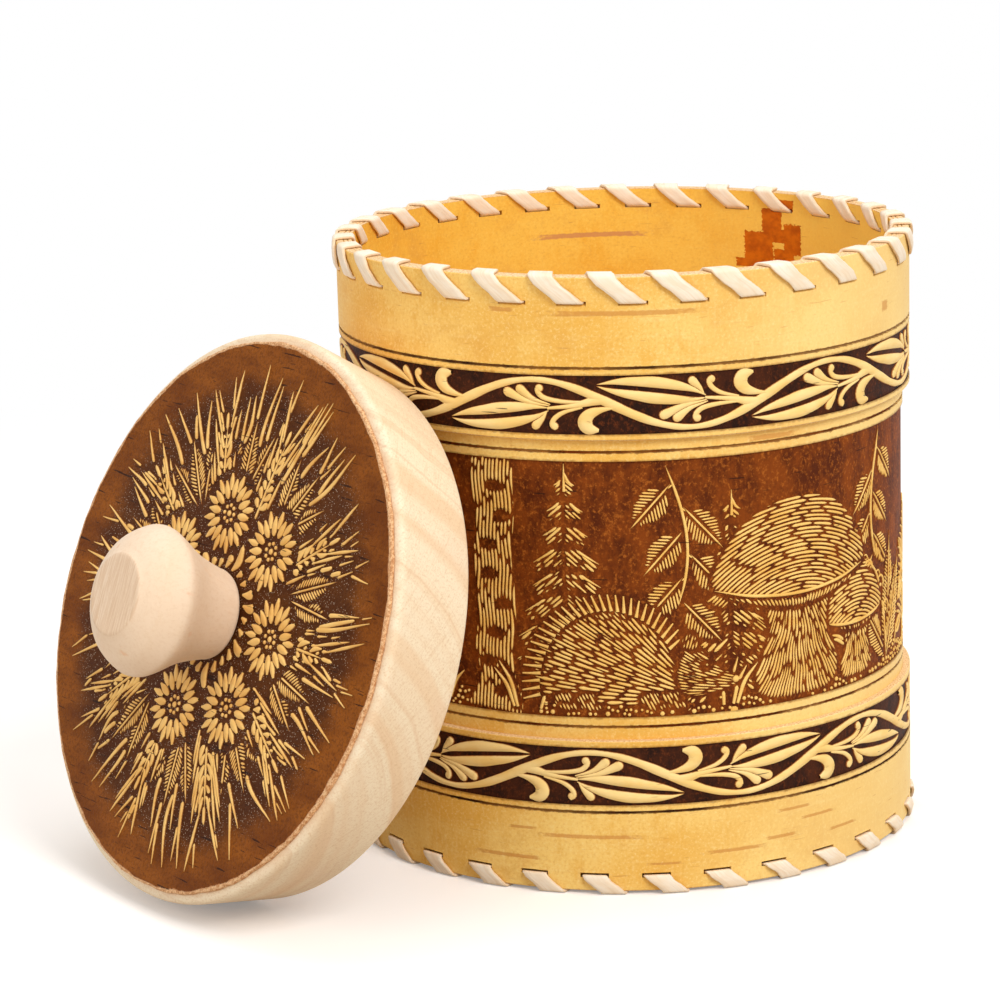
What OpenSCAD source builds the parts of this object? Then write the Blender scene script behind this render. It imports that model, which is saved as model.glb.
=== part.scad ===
// Round birch bark box with laced rims, embossed bark sheets and a loose wooden lid.
// The box stands on its base, centred on the Z axis. The lid has been taken off
// and leans against the left side of the box, its knob towards the front left.

/* [Box] */
// Diameter over the two outer bark bands
box_d = 125; // [90:1:180]
// Overall height, with the lacing over both rims
box_h = 132.2; // [110:0.1:200]
// Thickness of the inner bark sleeve, which is one whole tube of bark
inner_t = 0.9; // [0.5:0.05:1.5]
// Thickness of the embossed sleeve that carries the wide middle frieze
frieze_t = 0.9; // [0.6:0.05:1.5]
// Thickness of the two embossed outer bands
band_t = 1.5; // [1:0.05:2]
// Height of the upper outer band
upper_band_h = 33.9; // [28:0.1:42]
// Height of the lower outer band
lower_band_h = 32.8; // [28:0.1:42]

/* [Embossing] */
// Depth to which the dark grounds are pressed below the raised pattern
emboss_depth = 0.4; // [0.1:0.05:0.6]
// Height of the dark ground of the upper vine
upper_vine_h = 12.3; // [6:0.1:16]
// Height of the dark ground of the lower vine
lower_vine_h = 12.6; // [6:0.1:16]
// Plain border between the upper band's lower edge and its vine
upper_vine_border = 1.3; // [0.8:0.1:4]
// Plain border between the lower band's upper edge and its vine
lower_vine_border = 1.4; // [0.8:0.1:4]
// Distance from each vine to the thin pressed line on its rim side
vine_line_gap = 1.2; // [0.8:0.1:3]
// Plain border above and below the dark ground of the frieze
frieze_border = 4.7; // [3.8:0.1:7]
// Distance from each band to the thin pressed line on the frieze sleeve
frieze_line_gap = 2.4; // [1:0.1:2.6]
// Width of the thin pressed lines
line_w = 0.6; // [0.2:0.1:1]

/* [Lacing] */
// Stitches round the upper rim
upper_stitches = 31; // [16:1:40]
// Stitches round the lower rim
lower_stitches = 30; // [16:1:40]
// Width of the lacing strip
strip_w = 5.8; // [3:0.1:7]
// Thickness of the lacing strip
strip_t = 0.6; // [0.3:0.05:0.9]
// How far the strip stands off in the middle of a stitch
strip_bow = 0.25; // [0:0.05:0.6]
// Share of a stitch that the strip covers while it climbs outside the upper rim
upper_lean = 0.5; // [0.2:0.01:0.6]
// Share of a stitch that the strip covers outside the lower rim
lower_lean = 0.31; // [0.2:0.01:0.6]
// Distance from the upper edge of the bark down to its slits
upper_slit_drop = 5.5; // [4:0.1:9]
// Distance from the lower edge of the bark up to its slits
lower_slit_rise = 3.5; // [3:0.1:8]
// How much nearer to the edge the slits come out inside the box
slit_slant = 1.5; // [0:0.1:2]
// Turn of the upper row of slits about the box
upper_slit_turn = 4.8; // [0:0.1:12]
// Turn of the lower row of slits about the box
lower_slit_turn = 10.3; // [0:0.1:12]

/* [Base] */
// Thickness of the wooden base
base_t = 13; // [10:0.5:18]

/* [Lid] */
// Thickness of the wooden lid
lid_t = 20.9; // [16:0.1:28]
// Radius by which the lid is larger than the mouth at its upper edge
lid_overhang = 1.7; // [0.5:0.1:3]
// Radius by which the lid narrows down to its underside
lid_taper = 3.9; // [2.5:0.1:6]
// Rounding of the lid's upper edge
lid_top_round = 2; // [0.5:0.1:3]
// Rounding of the lid's lower edge
lid_under_round = 1.2; // [0.4:0.1:2]
// Width of bare wood round the embossed bark disc
lid_bark_margin = 2; // [1:0.1:5]
// Thickness of the embossed bark disc
lid_bark_t = 0.9; // [0.5:0.1:1.5]
// Compass direction that the leaning lid faces
lid_faces = 218.8; // [205:0.1:235]
// Angle by which the leaning lid tips back from upright
lid_lean = 20.2; // [12:0.1:35]
// Sideways offset of the leaning lid from the box's axis
lid_side = -10.8; // [-15:0.1:0]
// Gap left between the leaning lid and the bark that it leans on
lid_gap = 0.35; // [0.3:0.05:2]

/* [Knob] */
// Height of the turned knob
knob_h = 25.4; // [18:0.1:32]
// Radius of the knob at its widest
knob_r = 16; // [13:0.1:20]
// Radius of the knob's foot
knob_foot_r = 9.7; // [8:0.1:12]
// Radius of the flat on top of the knob
knob_flat_r = 8.3; // [4:0.1:10]
// Share of the knob's height at which it is widest
knob_belly = 0.68; // [0.6:0.01:0.72]

/* [Screw] */
// Shank diameter of the countersunk screw that holds the knob
screw_d = 4; // [3:0.1:5]
// Diameter of the screw's head
screw_head_d = 8; // [7:0.1:9]
// Depth to which the screw reaches into the knob
screw_grip = 13; // [8:0.5:15]

/* [Hidden] */
$fn = 96;

// Clearances: between sheets of bark, round the lacing, round fitted wood, in the slits and at
// their ends, and round the screw
sheet_gap = 0.05;
strip_gap = 0.12;
wood_gap = 0.05;
slit_play = 0.3;
slit_end_play = 0.15;
screw_play = 0.1;

// Radii of the bark sheets, from the outside in
band_r = box_d / 2;
frieze_r = band_r - band_t - sheet_gap;
inner_r = frieze_r - frieze_t - sheet_gap;
mouth_r = inner_r - inner_t;

// Heights of the bark edges and of the slits
bark_low = strip_t + strip_gap;
bark_high = box_h - strip_t - strip_gap;
upper_slit_z = bark_high - upper_slit_drop;
lower_slit_z = bark_low + lower_slit_rise;
upper_band_z = bark_high - upper_band_h;
lower_band_z = bark_low + lower_band_h;
upper_vine_z = upper_band_z + upper_vine_border;
lower_vine_z = lower_band_z - lower_vine_border - lower_vine_h;
frieze_low = lower_band_z + frieze_border;
frieze_high = upper_band_z - frieze_border;
edge_round = 0.25;

// Lap seams: the two ends of a rolled sheet are pared thin and glued over each other
seam_w = 0.12;
seam_lean = 14;
frieze_seam_turn = 96;
upper_seam_turn = 78;
lower_seam_turn = 84;

// Base: its lower part is narrow enough to clear the lacing inside the rim
base_plug_r = mouth_r - strip_gap - strip_t - strip_bow - 0.5;
base_shoulder_z = lower_slit_z + strip_t + 1;

// Lid, in its own frame: the underside is at 0 and the face looks up
lid_r = mouth_r + lid_overhang;
lid_under_r = lid_r - lid_taper;
lid_bark_r = lid_r - lid_bark_margin;
lid_bark_z = lid_t + wood_gap;
lid_knob_z = lid_bark_z + lid_bark_t + wood_gap;

// Place of the leaning lid: it stands on its lower edge and just clears the bark at its own
// height, be it a band or the frieze. Each point of its outline is [radius, height]; the
// leaning tips the height towards the horizontal.
lid_back_z = max([for (p = lid_outline()) p[0] * cos(lid_lean) - p[1] * sin(lid_lean)]);
function bark_radius(z) = z > lower_band_z + lid_gap && z < upper_band_z - lid_gap ? frieze_r : band_r;
function lid_room(away) = min([for (p = lid_outline(), a = [50 : 1 : 130])
    norm([away + p[1] * cos(lid_lean) - p[0] * sin(lid_lean) * sin(a), lid_side + p[0] * cos(a)])
    - bark_radius(lid_back_z + p[1] * sin(lid_lean) + p[0] * cos(lid_lean) * sin(a))]);
lid_away_guess = band_r + lid_gap + lid_under_r * sin(lid_lean);
lid_away = lid_away_guess + lid_gap - lid_room(lid_away_guess);

// Screw
screw_len = lid_knob_z + screw_grip;
screw_head_h = (screw_head_d - screw_d) / 2;
screw_rim = 0.3;
screw_sunk = 0.1;
thread_pitch = screw_d * 0.45;
thread_depth = screw_d * 0.12;

// Points along a curve from a to c that is drawn towards b
function bend(a, b, c, steps = 6) = [for (i = [0 : steps])
    let (t = i / steps) (1 - t) * (1 - t) * a + 2 * t * (1 - t) * b + t * t * c];

// A rolled sheet of bark: fields are [low z, high z] grounds pressed into its outer face
module bark_tube(r_in, r_out, low, high, fields = []) {
    rotate_extrude()
        polygon(concat(
            [[r_in, low], [r_out - edge_round, low], [r_out, low + edge_round]],
            [for (f = fields) each [[r_out, f[0]], [r_out - emboss_depth, f[0]],
                                    [r_out - emboss_depth, f[1]], [r_out, f[1]]]],
            [[r_out, high - edge_round], [r_out - edge_round, high], [r_in, high]]));
}

// A row of slits for the lacing, through every sheet at one rim. They slant towards the edge
// on their way in: side is 1 at the upper rim and -1 at the lower one.
module slits(z, turn, count, side) {
    for (k = [0 : count - 1])
        rotate([0, 0, turn + k * 360 / count])
            translate([band_r, 0, z])
                rotate([0, side * atan(slit_slant / (band_r - mouth_r)), 0])
                    cube([band_r / 2, strip_w + 2 * slit_end_play, strip_t + slit_play], center = true);
}

module upper_slits() {
    slits(upper_slit_z, upper_slit_turn, upper_stitches, 1);
}

module lower_slits() {
    slits(lower_slit_z, lower_slit_turn, lower_stitches, -1);
}

// The slanting cut where the pared ends of a rolled sheet meet
module lap_seam(turn, r_mid) {
    rotate([0, 0, turn])
        translate([0, r_mid, box_h / 2])
            rotate([0, 0, seam_lean])
                cube([band_r / 3, seam_w, box_h * 2], center = true);
}

module inner_sleeve() {
    color("#e2a13a")
        difference() {
            bark_tube(mouth_r, inner_r, bark_low, bark_high);
            upper_slits();
            lower_slits();
        }
}

module frieze_sleeve() {
    color("#6b3a12")
        difference() {
            bark_tube(inner_r + sheet_gap, frieze_r, bark_low, bark_high, [
                [lower_band_z + frieze_line_gap, lower_band_z + frieze_line_gap + line_w],
                [frieze_low, frieze_high],
                [upper_band_z - frieze_line_gap - line_w, upper_band_z - frieze_line_gap]]);
            upper_slits();
            lower_slits();
            lap_seam(frieze_seam_turn, frieze_r - frieze_t / 2);
        }
}

module upper_band() {
    line_z = upper_vine_z + upper_vine_h + vine_line_gap;
    color("#e9bb62")
        difference() {
            bark_tube(frieze_r + sheet_gap, band_r, upper_band_z, bark_high,
                [[upper_vine_z, upper_vine_z + upper_vine_h], [line_z, line_z + line_w]]);
            upper_slits();
            lap_seam(upper_seam_turn, band_r - band_t / 2);
        }
}

module lower_band() {
    line_z = lower_vine_z - vine_line_gap;
    color("#e9bb62")
        difference() {
            bark_tube(frieze_r + sheet_gap, band_r, bark_low, lower_band_z,
                [[line_z - line_w, line_z], [lower_vine_z, lower_vine_z + lower_vine_h]]);
            lower_slits();
            lap_seam(lower_seam_turn, band_r - band_t / 2);
        }
}

// One stitch of the lacing, as stations [radius, height, normal, share of the pitch].
// The bark's edge is at height 0 with the bark below it. The strip comes out of its slit,
// climbs outside, crosses the edge, goes down inside and ends at the next slit.
function stitch(drop, lean) =
    let (out = band_r + strip_gap + strip_t / 2,
         inn = mouth_r - strip_gap - strip_t / 2,
         top = strip_gap + strip_t / 2,
         soft = strip_t / 2,
         in_drop = drop - slit_slant,
         inside = lean + 0.07)
    [[(band_r + mouth_r) / 2, slit_slant / 2 - drop, [0, 1], 0],
     [out, -drop, [-1, 1], 0],
     [out + strip_bow, -0.66 * drop, [-1, 0], 0.28 * lean],
     [out + strip_bow, -0.3 * drop, [-1, 0], 0.7 * lean],
     [out, top - soft, [-1, 0], lean - 0.01],
     [out - soft, top, [0, -1], lean],
     [inn + soft, top, [0, -1], inside],
     [inn, top - soft, [1, 0], inside + 0.01],
     [inn - strip_bow / 2, -0.5 * in_drop, [1, 0], (inside + 1) / 2],
     [inn, strip_gap - in_drop, [1, 1], 1]];

// The same stations one after the other round the whole rim. The last stitch stops short
// of the first slit, so that the strip has two ends.
function winding(one, count) =
    let (last = len(one) - 1)
    concat(
        [for (k = [0 : count - 1], i = [0 : last]) if (k < count - 1 || i < last)
            [one[i][0], one[i][1], one[i][2], (k + one[i][3]) * 360 / count]],
        [[one[last][0], 0.8 * one[last][1], [1, 0], (count - 0.08) * 360 / count]]);

// The four corners of the strip at one station
function strip_ring(s) =
    let (half = strip_w / 2 / band_r * 180 / PI,
         near = [s[0], s[1]] + s[2] * strip_t / 2,
         far = [s[0], s[1]] - s[2] * strip_t / 2)
    [for (c = [[near, -half], [near, half], [far, half], [far, -half]])
        [c[0][0] * cos(-s[3] + c[1]), c[0][0] * sin(-s[3] + c[1]), c[0][1]]];

// Least distance between the strip's corners in one stitch and those in the next
function least_gap(rings, per) = min([for (i = [0 : per - 2], j = [per + 1 : 2 * per - 1],
    a = rings[i], b = rings[j]) norm(a - b)]);

module lacing(one, count, label) {
    stations = winding(one, count);
    rings = [for (s = stations) strip_ring(s)];
    n = len(rings);
    ends_gap = min([for (a = rings[0], b = rings[n - 1]) norm(a - b)]);
    echo(str("least gap of the ", label, " lacing to itself, mm: "),
         min(least_gap(rings, len(one)), ends_gap));
    sides = [for (i = [0 : n - 2], k = [0 : 3])
        let (a = 4 * i + k, b = 4 * i + (k + 1) % 4)
        each [[a, a + 4, b], [b, a + 4, b + 4]]];
    caps = [[0, 1, 2], [0, 2, 3], [4 * n - 4, 4 * n - 2, 4 * n - 3], [4 * n - 4, 4 * n - 1, 4 * n - 2]];
    polyhedron(points = [for (r = rings) each r], faces = concat(sides, caps));
}

module upper_lacing() {
    color("#efe0c4")
        translate([0, 0, bark_high])
            rotate([0, 0, upper_slit_turn])
                lacing(stitch(upper_slit_drop, upper_lean), upper_stitches, "upper");
}

module lower_lacing() {
    color("#efe0c4")
        translate([0, 0, bark_low])
            rotate([0, 0, lower_slit_turn])
                rotate([180, 0, 0])
                    lacing(stitch(lower_slit_rise, lower_lean), lower_stitches, "lower");
}

module base_disc() {
    bevel = 0.6;
    color("#e8cda4")
        rotate_extrude()
            polygon([[0, 0], [base_plug_r - bevel, 0], [base_plug_r, bevel],
                     [base_plug_r, base_shoulder_z], [mouth_r - wood_gap, base_shoulder_z],
                     [mouth_r - wood_gap, base_t - bevel], [mouth_r - wood_gap - bevel, base_t],
                     [0, base_t]]);
}

// Carries a piece of the lid from its own frame to the place where the lid leans
module leaning() {
    rotate([0, 0, lid_faces])
        translate([lid_away, lid_side, lid_back_z])
            rotate([0, 90 - lid_lean, 0])
                children();
}

// Outline of the lid: a plug that narrows downwards, with both edges rounded
function lid_outline() =
    let (e = lid_under_round, f = lid_top_round)
    concat([[0, 0]],
        bend([lid_under_r - e, 0], [lid_under_r, 0], [lid_under_r + e * lid_taper / lid_t, e]),
        bend([lid_r - f * lid_taper / lid_t, lid_t - f], [lid_r, lid_t], [lid_r - f, lid_t]),
        [[0, lid_t]]);

module lid_disc() {
    color("#efd9b4")
        leaning()
            difference() {
                rotate_extrude() polygon(lid_outline());
                translate([0, 0, -1]) cylinder(r = screw_d / 2 + screw_play, h = lid_t + 2);
                translate([0, 0, -1]) cylinder(r = screw_head_d / 2 + screw_play, h = 1 + screw_rim);
                translate([0, 0, screw_rim - 0.01])
                    cylinder(r1 = screw_head_d / 2 + screw_play, r2 = screw_d / 2 + screw_play,
                             h = screw_head_h - screw_rim);
            }
}

module lid_bark_disc() {
    color("#5b3010")
        leaning()
            translate([0, 0, lid_bark_z])
                difference() {
                    cylinder(r = lid_bark_r, h = lid_bark_t);
                    translate([0, 0, -1])
                        cylinder(r = screw_d / 2 + screw_play, h = lid_bark_t + 2);
                }
}

// Outline of the knob: a flared neck under a rounded head with a small flat on top
function knob_outline() =
    let (belly = knob_h * knob_belly, foot_round = 1)
    concat([[0, 0]],
        bend([knob_foot_r - foot_round, 0], [knob_foot_r, 0], [knob_foot_r, foot_round], 3),
        bend([knob_foot_r + 0.15, foot_round + 0.6], [knob_foot_r + 1.4, belly * 0.4],
             [knob_r - 0.8, belly - 2]),
        bend([knob_r - 0.5, belly - 1.5], [knob_r + 0.4, belly], [knob_r - 0.4, belly + 1.5]),
        bend([knob_r - 0.6, belly + 1.9], [(knob_r + knob_flat_r) / 2 + 1.6, knob_h - 2.6],
             [knob_flat_r + 0.5, knob_h - 0.4]),
        [[knob_flat_r, knob_h], [0, knob_h]]);

module lid_knob() {
    color("#f0dcc0")
        leaning()
            translate([0, 0, lid_knob_z])
                difference() {
                    rotate_extrude() polygon(knob_outline());
                    translate([0, 0, -1]) cylinder(r = screw_d / 2 + screw_play, h = screw_grip + 1.5);
                }
}

// Countersunk wood screw, driven up through the lid into the knob
module knob_screw() {
    r = screw_d / 2;
    thread_low = lid_knob_z;
    turns = floor((screw_grip - r - 1) / thread_pitch);
    color("#b9b9b4")
        leaning()
            difference() {
                rotate_extrude()
                    polygon(concat(
                        [[0, screw_sunk], [screw_head_d / 2, screw_sunk],
                         [screw_head_d / 2, screw_rim], [r, screw_head_h], [r, thread_low]],
                        [for (i = [0 : turns - 1]) let (z = thread_low + i * thread_pitch)
                            each [[r - thread_depth, z + 0.15 * thread_pitch],
                                  [r - thread_depth, z + 0.45 * thread_pitch],
                                  [r, z + 0.8 * thread_pitch]]],
                        [[r - thread_depth, screw_len - r - 0.5], [0, screw_len - 0.5]]));
                for (turn = [0, 90])
                    rotate([0, 0, turn])
                        translate([0, 0, 0.4]) cube([r * 2.2, 1, 2.4], center = true);
            }
}

inner_sleeve();
frieze_sleeve();
upper_band();
lower_band();
upper_lacing();
lower_lacing();
base_disc();
lid_disc();
lid_bark_disc();
lid_knob();
knob_screw();
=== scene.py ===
"""Looks of the birch bark box: bark sheets, raised ornament, lacing, turned wood and the studio."""
import math
import random

import bpy
import numpy as np
from mathutils import Matrix, Vector


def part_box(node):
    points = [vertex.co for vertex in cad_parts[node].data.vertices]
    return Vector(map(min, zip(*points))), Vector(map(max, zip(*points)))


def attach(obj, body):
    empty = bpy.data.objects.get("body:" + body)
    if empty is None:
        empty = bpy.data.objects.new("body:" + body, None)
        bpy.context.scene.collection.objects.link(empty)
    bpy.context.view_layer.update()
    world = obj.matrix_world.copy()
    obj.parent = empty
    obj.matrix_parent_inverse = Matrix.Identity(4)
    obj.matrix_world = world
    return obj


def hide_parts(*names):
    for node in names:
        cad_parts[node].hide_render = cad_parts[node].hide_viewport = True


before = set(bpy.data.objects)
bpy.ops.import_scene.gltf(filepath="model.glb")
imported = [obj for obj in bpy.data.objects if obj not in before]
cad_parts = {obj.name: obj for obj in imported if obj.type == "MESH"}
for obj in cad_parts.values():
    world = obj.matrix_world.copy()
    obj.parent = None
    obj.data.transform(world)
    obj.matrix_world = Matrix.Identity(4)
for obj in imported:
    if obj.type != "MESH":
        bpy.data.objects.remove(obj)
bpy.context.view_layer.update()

MM = 0.001

# Sizes of the bark sheets in millimetres: the outer ones come from the frame, the rest repeat
# the embossing values of the part
BAND_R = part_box("upper_band")[1].x / MM
UPPER_LOW, UPPER_HIGH = [c.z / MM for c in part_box("upper_band")]
LOWER_LOW, LOWER_HIGH = [c.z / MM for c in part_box("lower_band")]
FRIEZE_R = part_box("frieze_sleeve")[1].x / MM
LINING_T = 0.9
MOUTH_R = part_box("inner_sleeve")[1].x / MM - LINING_T
EMBOSS_DEPTH = 0.4
# Ornament stops this far short of the sheet's own surface
EMBOSS_SPARE = 0.02

# Where the ornament's fields and pressed lines lie, as (lower, upper) heights. The margins are
# measured from the bands' inner edges, and the lines from the fields or those edges.
UPPER_VINE_MARGIN, UPPER_VINE_H = 1.3, 12.3
LOWER_VINE_MARGIN, LOWER_VINE_H = 1.4, 12.6
LINE_NEAR, LINE_FAR = 1.2, 1.8
FRIEZE_MARGIN, FRIEZE_LINE_NEAR, FRIEZE_LINE_FAR = 4.7, 2.4, 3.0
UPPER_VINE = (UPPER_LOW + UPPER_VINE_MARGIN, UPPER_LOW + UPPER_VINE_MARGIN + UPPER_VINE_H)
LOWER_VINE = (LOWER_HIGH - LOWER_VINE_MARGIN - LOWER_VINE_H, LOWER_HIGH - LOWER_VINE_MARGIN)
UPPER_LINE = (UPPER_VINE[1] + LINE_NEAR, UPPER_VINE[1] + LINE_FAR)
LOWER_LINE = (LOWER_VINE[0] - LINE_FAR, LOWER_VINE[0] - LINE_NEAR)
FRIEZE = (LOWER_HIGH + FRIEZE_MARGIN, UPPER_LOW - FRIEZE_MARGIN)
FRIEZE_LINES = [(LOWER_HIGH + FRIEZE_LINE_NEAR, LOWER_HIGH + FRIEZE_LINE_FAR),
                (UPPER_LOW - FRIEZE_LINE_FAR, UPPER_LOW - FRIEZE_LINE_NEAR)]

# Lacing, as in the part
STRIP_W, STRIP_T, STRIP_BOW, STRIP_GAP, SLIT_SLANT = 5.8, 0.6, 0.25, 0.12, 1.5
UPPER_RIM = {"edge": UPPER_HIGH, "over": 1, "count": 31, "lean": 0.5, "drop": 5.5, "turn": 4.8}
LOWER_RIM = {"edge": LOWER_LOW, "over": -1, "count": 30, "lean": 0.31, "drop": 3.5, "turn": -10.3}

# The leaning lid: its own frame has its origin in the middle of the bark disc, z pointing out
LID_FACES, LID_LEAN = math.radians(218.8), math.radians(20.2)
LID_BARK_T, LID_T, WOOD_GAP = 0.9, 20.9, 0.05
LID_R, LID_TAPER, LID_TOP_ROUND, LID_UNDER_ROUND = 60.77, 3.9, 2.0, 1.2
LID_BARK_R = 58.8
LID_BORE_R, LID_SINK_R = 2.1, 4.1
KNOB_H = 25.4
KNOB_TOP = KNOB_H + LID_BARK_T / 2 + WOOD_GAP
lid_low, lid_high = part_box("lid_bark_disc")
LID_ORIGIN = (lid_low + lid_high) / 2 / MM
LID_OUT = Vector((math.cos(LID_LEAN) * math.cos(LID_FACES),
                  math.cos(LID_LEAN) * math.sin(LID_FACES), math.sin(LID_LEAN)))
LID_UP = Vector((-math.sin(LID_LEAN) * math.cos(LID_FACES),
                 -math.sin(LID_LEAN) * math.sin(LID_FACES), math.cos(LID_LEAN)))
LID_RIGHT = LID_UP.cross(LID_OUT)


# ---------------------------------------------------------------- meshes

def build_mesh(name, points, quads, tris=(), attributes=None):
    """A mesh object from points in millimetres; attributes are {name: numbers or vectors per point}."""
    points = np.asarray(points, float).reshape(-1, 3)
    quads = np.asarray(quads, np.int32).reshape(-1, 4)
    tris = np.asarray(tris, np.int32).reshape(-1, 3)
    mesh = bpy.data.meshes.new(name)
    mesh.vertices.add(len(points))
    mesh.vertices.foreach_set("co", (points * MM).ravel())
    mesh.loops.add(quads.size + tris.size)
    mesh.loops.foreach_set("vertex_index", np.concatenate([quads.ravel(), tris.ravel()]))
    mesh.polygons.add(len(quads) + len(tris))
    starts = np.concatenate([np.arange(len(quads)) * 4, quads.size + np.arange(len(tris)) * 3])
    mesh.polygons.foreach_set("loop_start", starts.astype(np.int32))
    mesh.update(calc_edges=True)
    mesh.polygons.foreach_set("use_smooth", np.ones(len(mesh.polygons), bool))
    for key, values in (attributes or {}).items():
        values = np.asarray(values, np.float32)
        kind = "FLOAT_VECTOR" if values.ndim == 2 else "FLOAT"
        layer = mesh.attributes.new(key, kind, "POINT")
        layer.data.foreach_set("vector" if values.ndim == 2 else "value", values.ravel())
    mesh.validate()
    piece = bpy.data.objects.new(name, mesh)
    bpy.context.scene.collection.objects.link(piece)
    return piece


def dress(piece, material, body, replaces=()):
    """Gives a piece its material, the body it rides on and the CAD nodes it stands for."""
    piece.data.materials.clear()
    piece.data.materials.append(material)
    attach(piece, body)
    for node in replaces:
        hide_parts(node)
    return piece


def bend(a, b, c, steps=6):
    """Points along a curve from a to c that is drawn towards b."""
    t = np.linspace(0, 1, steps + 1)[:, None]
    a, b, c = (np.array(p, float) for p in (a, b, c))
    return ((1 - t) ** 2 * a + 2 * t * (1 - t) * b + t * t * c).tolist()


def lathe(profile, segments, closed=False):
    """Points and quads of an outline of (radius, height) turned about the z axis, in columns."""
    angles = np.arange(segments) * 2 * math.pi / segments
    profile = np.asarray(profile, float)
    rows = len(profile)
    points = np.stack([np.outer(np.cos(angles), profile[:, 0]),
                       np.outer(np.sin(angles), profile[:, 0]),
                       np.tile(profile[:, 1], (segments, 1))], axis=-1)
    row = np.arange(rows if closed else rows - 1)
    a = (np.arange(segments)[:, None] * rows + row).ravel()
    b = (np.arange(segments)[:, None] * rows + (row + 1) % rows).ravel()
    c = (((np.arange(segments) + 1) % segments)[:, None] * rows + (row + 1) % rows).ravel()
    d = (((np.arange(segments) + 1) % segments)[:, None] * rows + row).ravel()
    return points.reshape(-1, 3), np.stack([a, d, c, b], axis=1)


def on_lid(points):
    """Points of the lid's own frame, carried to the place where the lid leans."""
    points = np.asarray(points, float)
    axes = np.array([LID_RIGHT, LID_UP, LID_OUT])
    return points @ axes + np.array(LID_ORIGIN)


# ---------------------------------------------------------------- materials

def rgb(r, g, b):
    """An sRGB colour of 0 to 255 as a linear colour for a shader."""
    linear = [v / 12.92 if v <= 0.04045 else ((v + 0.055) / 1.055) ** 2.4
              for v in (r / 255, g / 255, b / 255)]
    return (*linear, 1.0)


class Graph:
    """A node tree, built by short calls whose inputs are sockets or plain values."""

    def __init__(self, tree):
        self.tree = tree

    def set(self, socket, value):
        if isinstance(value, bpy.types.NodeSocket):
            self.tree.links.new(value, socket)
        else:
            socket.default_value = value

    def node(self, kind, inputs=None, out=0, **settings):
        node = self.tree.nodes.new("ShaderNode" + kind)
        for key, value in settings.items():
            setattr(node, key, value)
        for key, value in (inputs or {}).items():
            self.set(node.inputs[key], value)
        return node.outputs[out]

    def math(self, operation, a, b=0.0, c=0.0, clamp=False):
        return self.node("Math", {0: a, 1: b, 2: c}, operation=operation, use_clamp=clamp)

    def step(self, value, low, high):
        """0 below low and 1 above high, smooth between them; high may be less than low."""
        return self.node("MapRange", {"Value": value, "From Min": low, "From Max": high},
                         interpolation_type="SMOOTHSTEP")


class Shade(Graph):
    """A material with one principled shader."""

    def __init__(self, name, roughness, shine=0.5):
        self.material = bpy.data.materials.new(name)
        self.material.use_nodes = True
        super().__init__(self.material.node_tree)
        self.shader = self.tree.nodes["Principled BSDF"]
        self.shader.inputs["Roughness"].default_value = roughness
        self.shader.inputs["Specular IOR Level"].default_value = shine

    def add(self, a, b):
        return self.math("ADD", a, b)

    def less(self, a, b):
        return self.math("SUBTRACT", a, b)

    def most(self, a, b):
        return self.math("MAXIMUM", a, b)

    def times(self, a, b):
        return self.math("MULTIPLY", a, b)

    def hypot(self, a, b):
        return self.math("SQRT", self.add(self.times(a, a), self.times(b, b)))

    def mix(self, share, a, b):
        return self.node("Mix", {0: share, 6: a, 7: b}, out=2, data_type="RGBA")

    def layers(self, colour, *rows):
        """The colour under layers; a row is (value, low, high, share, colour), as step takes them."""
        for value, low, high, share, over in rows:
            colour = self.mix(self.times(self.step(value, low, high), share), colour, over)
        return colour

    def place(self):
        """The point's place in millimetres."""
        coords = self.node("TexCoord", out=3)
        return self.node("VectorMath", {0: coords, "Scale": 1 / MM}, operation="SCALE")

    def attribute(self, name, out):
        return self.node("Attribute", out=out, attribute_name=name)

    def join(self, x, y=0.0, z=0.0):
        return self.node("CombineXYZ", {0: x, 1: y, 2: z})

    def split(self, vector):
        return tuple(self.node("SeparateXYZ", {0: vector}).node.outputs)

    def stretch(self, vector, scale, shift=0.0):
        scaled = self.node("VectorMath", {0: vector, 1: scale}, operation="MULTIPLY")
        if not shift:
            return scaled
        return self.node("VectorMath", {0: scaled, 1: (shift, shift, shift)}, operation="ADD")

    def noise(self, vector, scale=1.0, detail=3.0, roughness=0.55, shift=0.0):
        """Noise of 0 to 1; the scale is one number, or one for each axis."""
        if isinstance(scale, tuple):
            vector, scale = self.stretch(vector, scale, shift), 1.0
        return self.node("TexNoise", {"Vector": vector, "Scale": scale, "Detail": detail,
                                      "Roughness": roughness})

    def bump(self, height, distance, strength):
        return self.node("Bump", {"Height": height, "Distance": distance * MM, "Strength": strength})

    def finish(self, colour, normal, roughness=None):
        self.set(self.shader.inputs["Base Color"], colour)
        self.set(self.shader.inputs["Normal"], normal)
        if roughness is not None:
            self.set(self.shader.inputs["Roughness"], roughness)
        return self.material


GOLD, GOLD_WARM, GOLD_PALE = rgb(252, 210, 120), rgb(240, 184, 84), rgb(255, 226, 156)
LINING, LINING_WARM, LINING_PALE = rgb(250, 200, 84), rgb(244, 182, 62), rgb(253, 214, 106)
PORE = rgb(208, 142, 70)
STAIN = rgb(226, 164, 72)
TOAST = rgb(126, 64, 14)
FRIEZE_GROUND = rgb(82, 32, 5), rgb(132, 62, 12), rgb(182, 102, 34)
VINE_GROUND = rgb(36, 16, 8), rgb(70, 32, 13), rgb(104, 50, 20)
CRACK = rgb(44, 20, 8)
CUT_EDGE, CUT_EDGE_DARK = rgb(248, 218, 170), rgb(216, 164, 112)

# How far scorching may reach past the ornament's fields, and the heights below a sheet's end at
# which its cut edge begins to show and shows fully
ART_MARGIN = 0.4
EDGE_FROM, EDGE_TO = 0.22, 0.04


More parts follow.
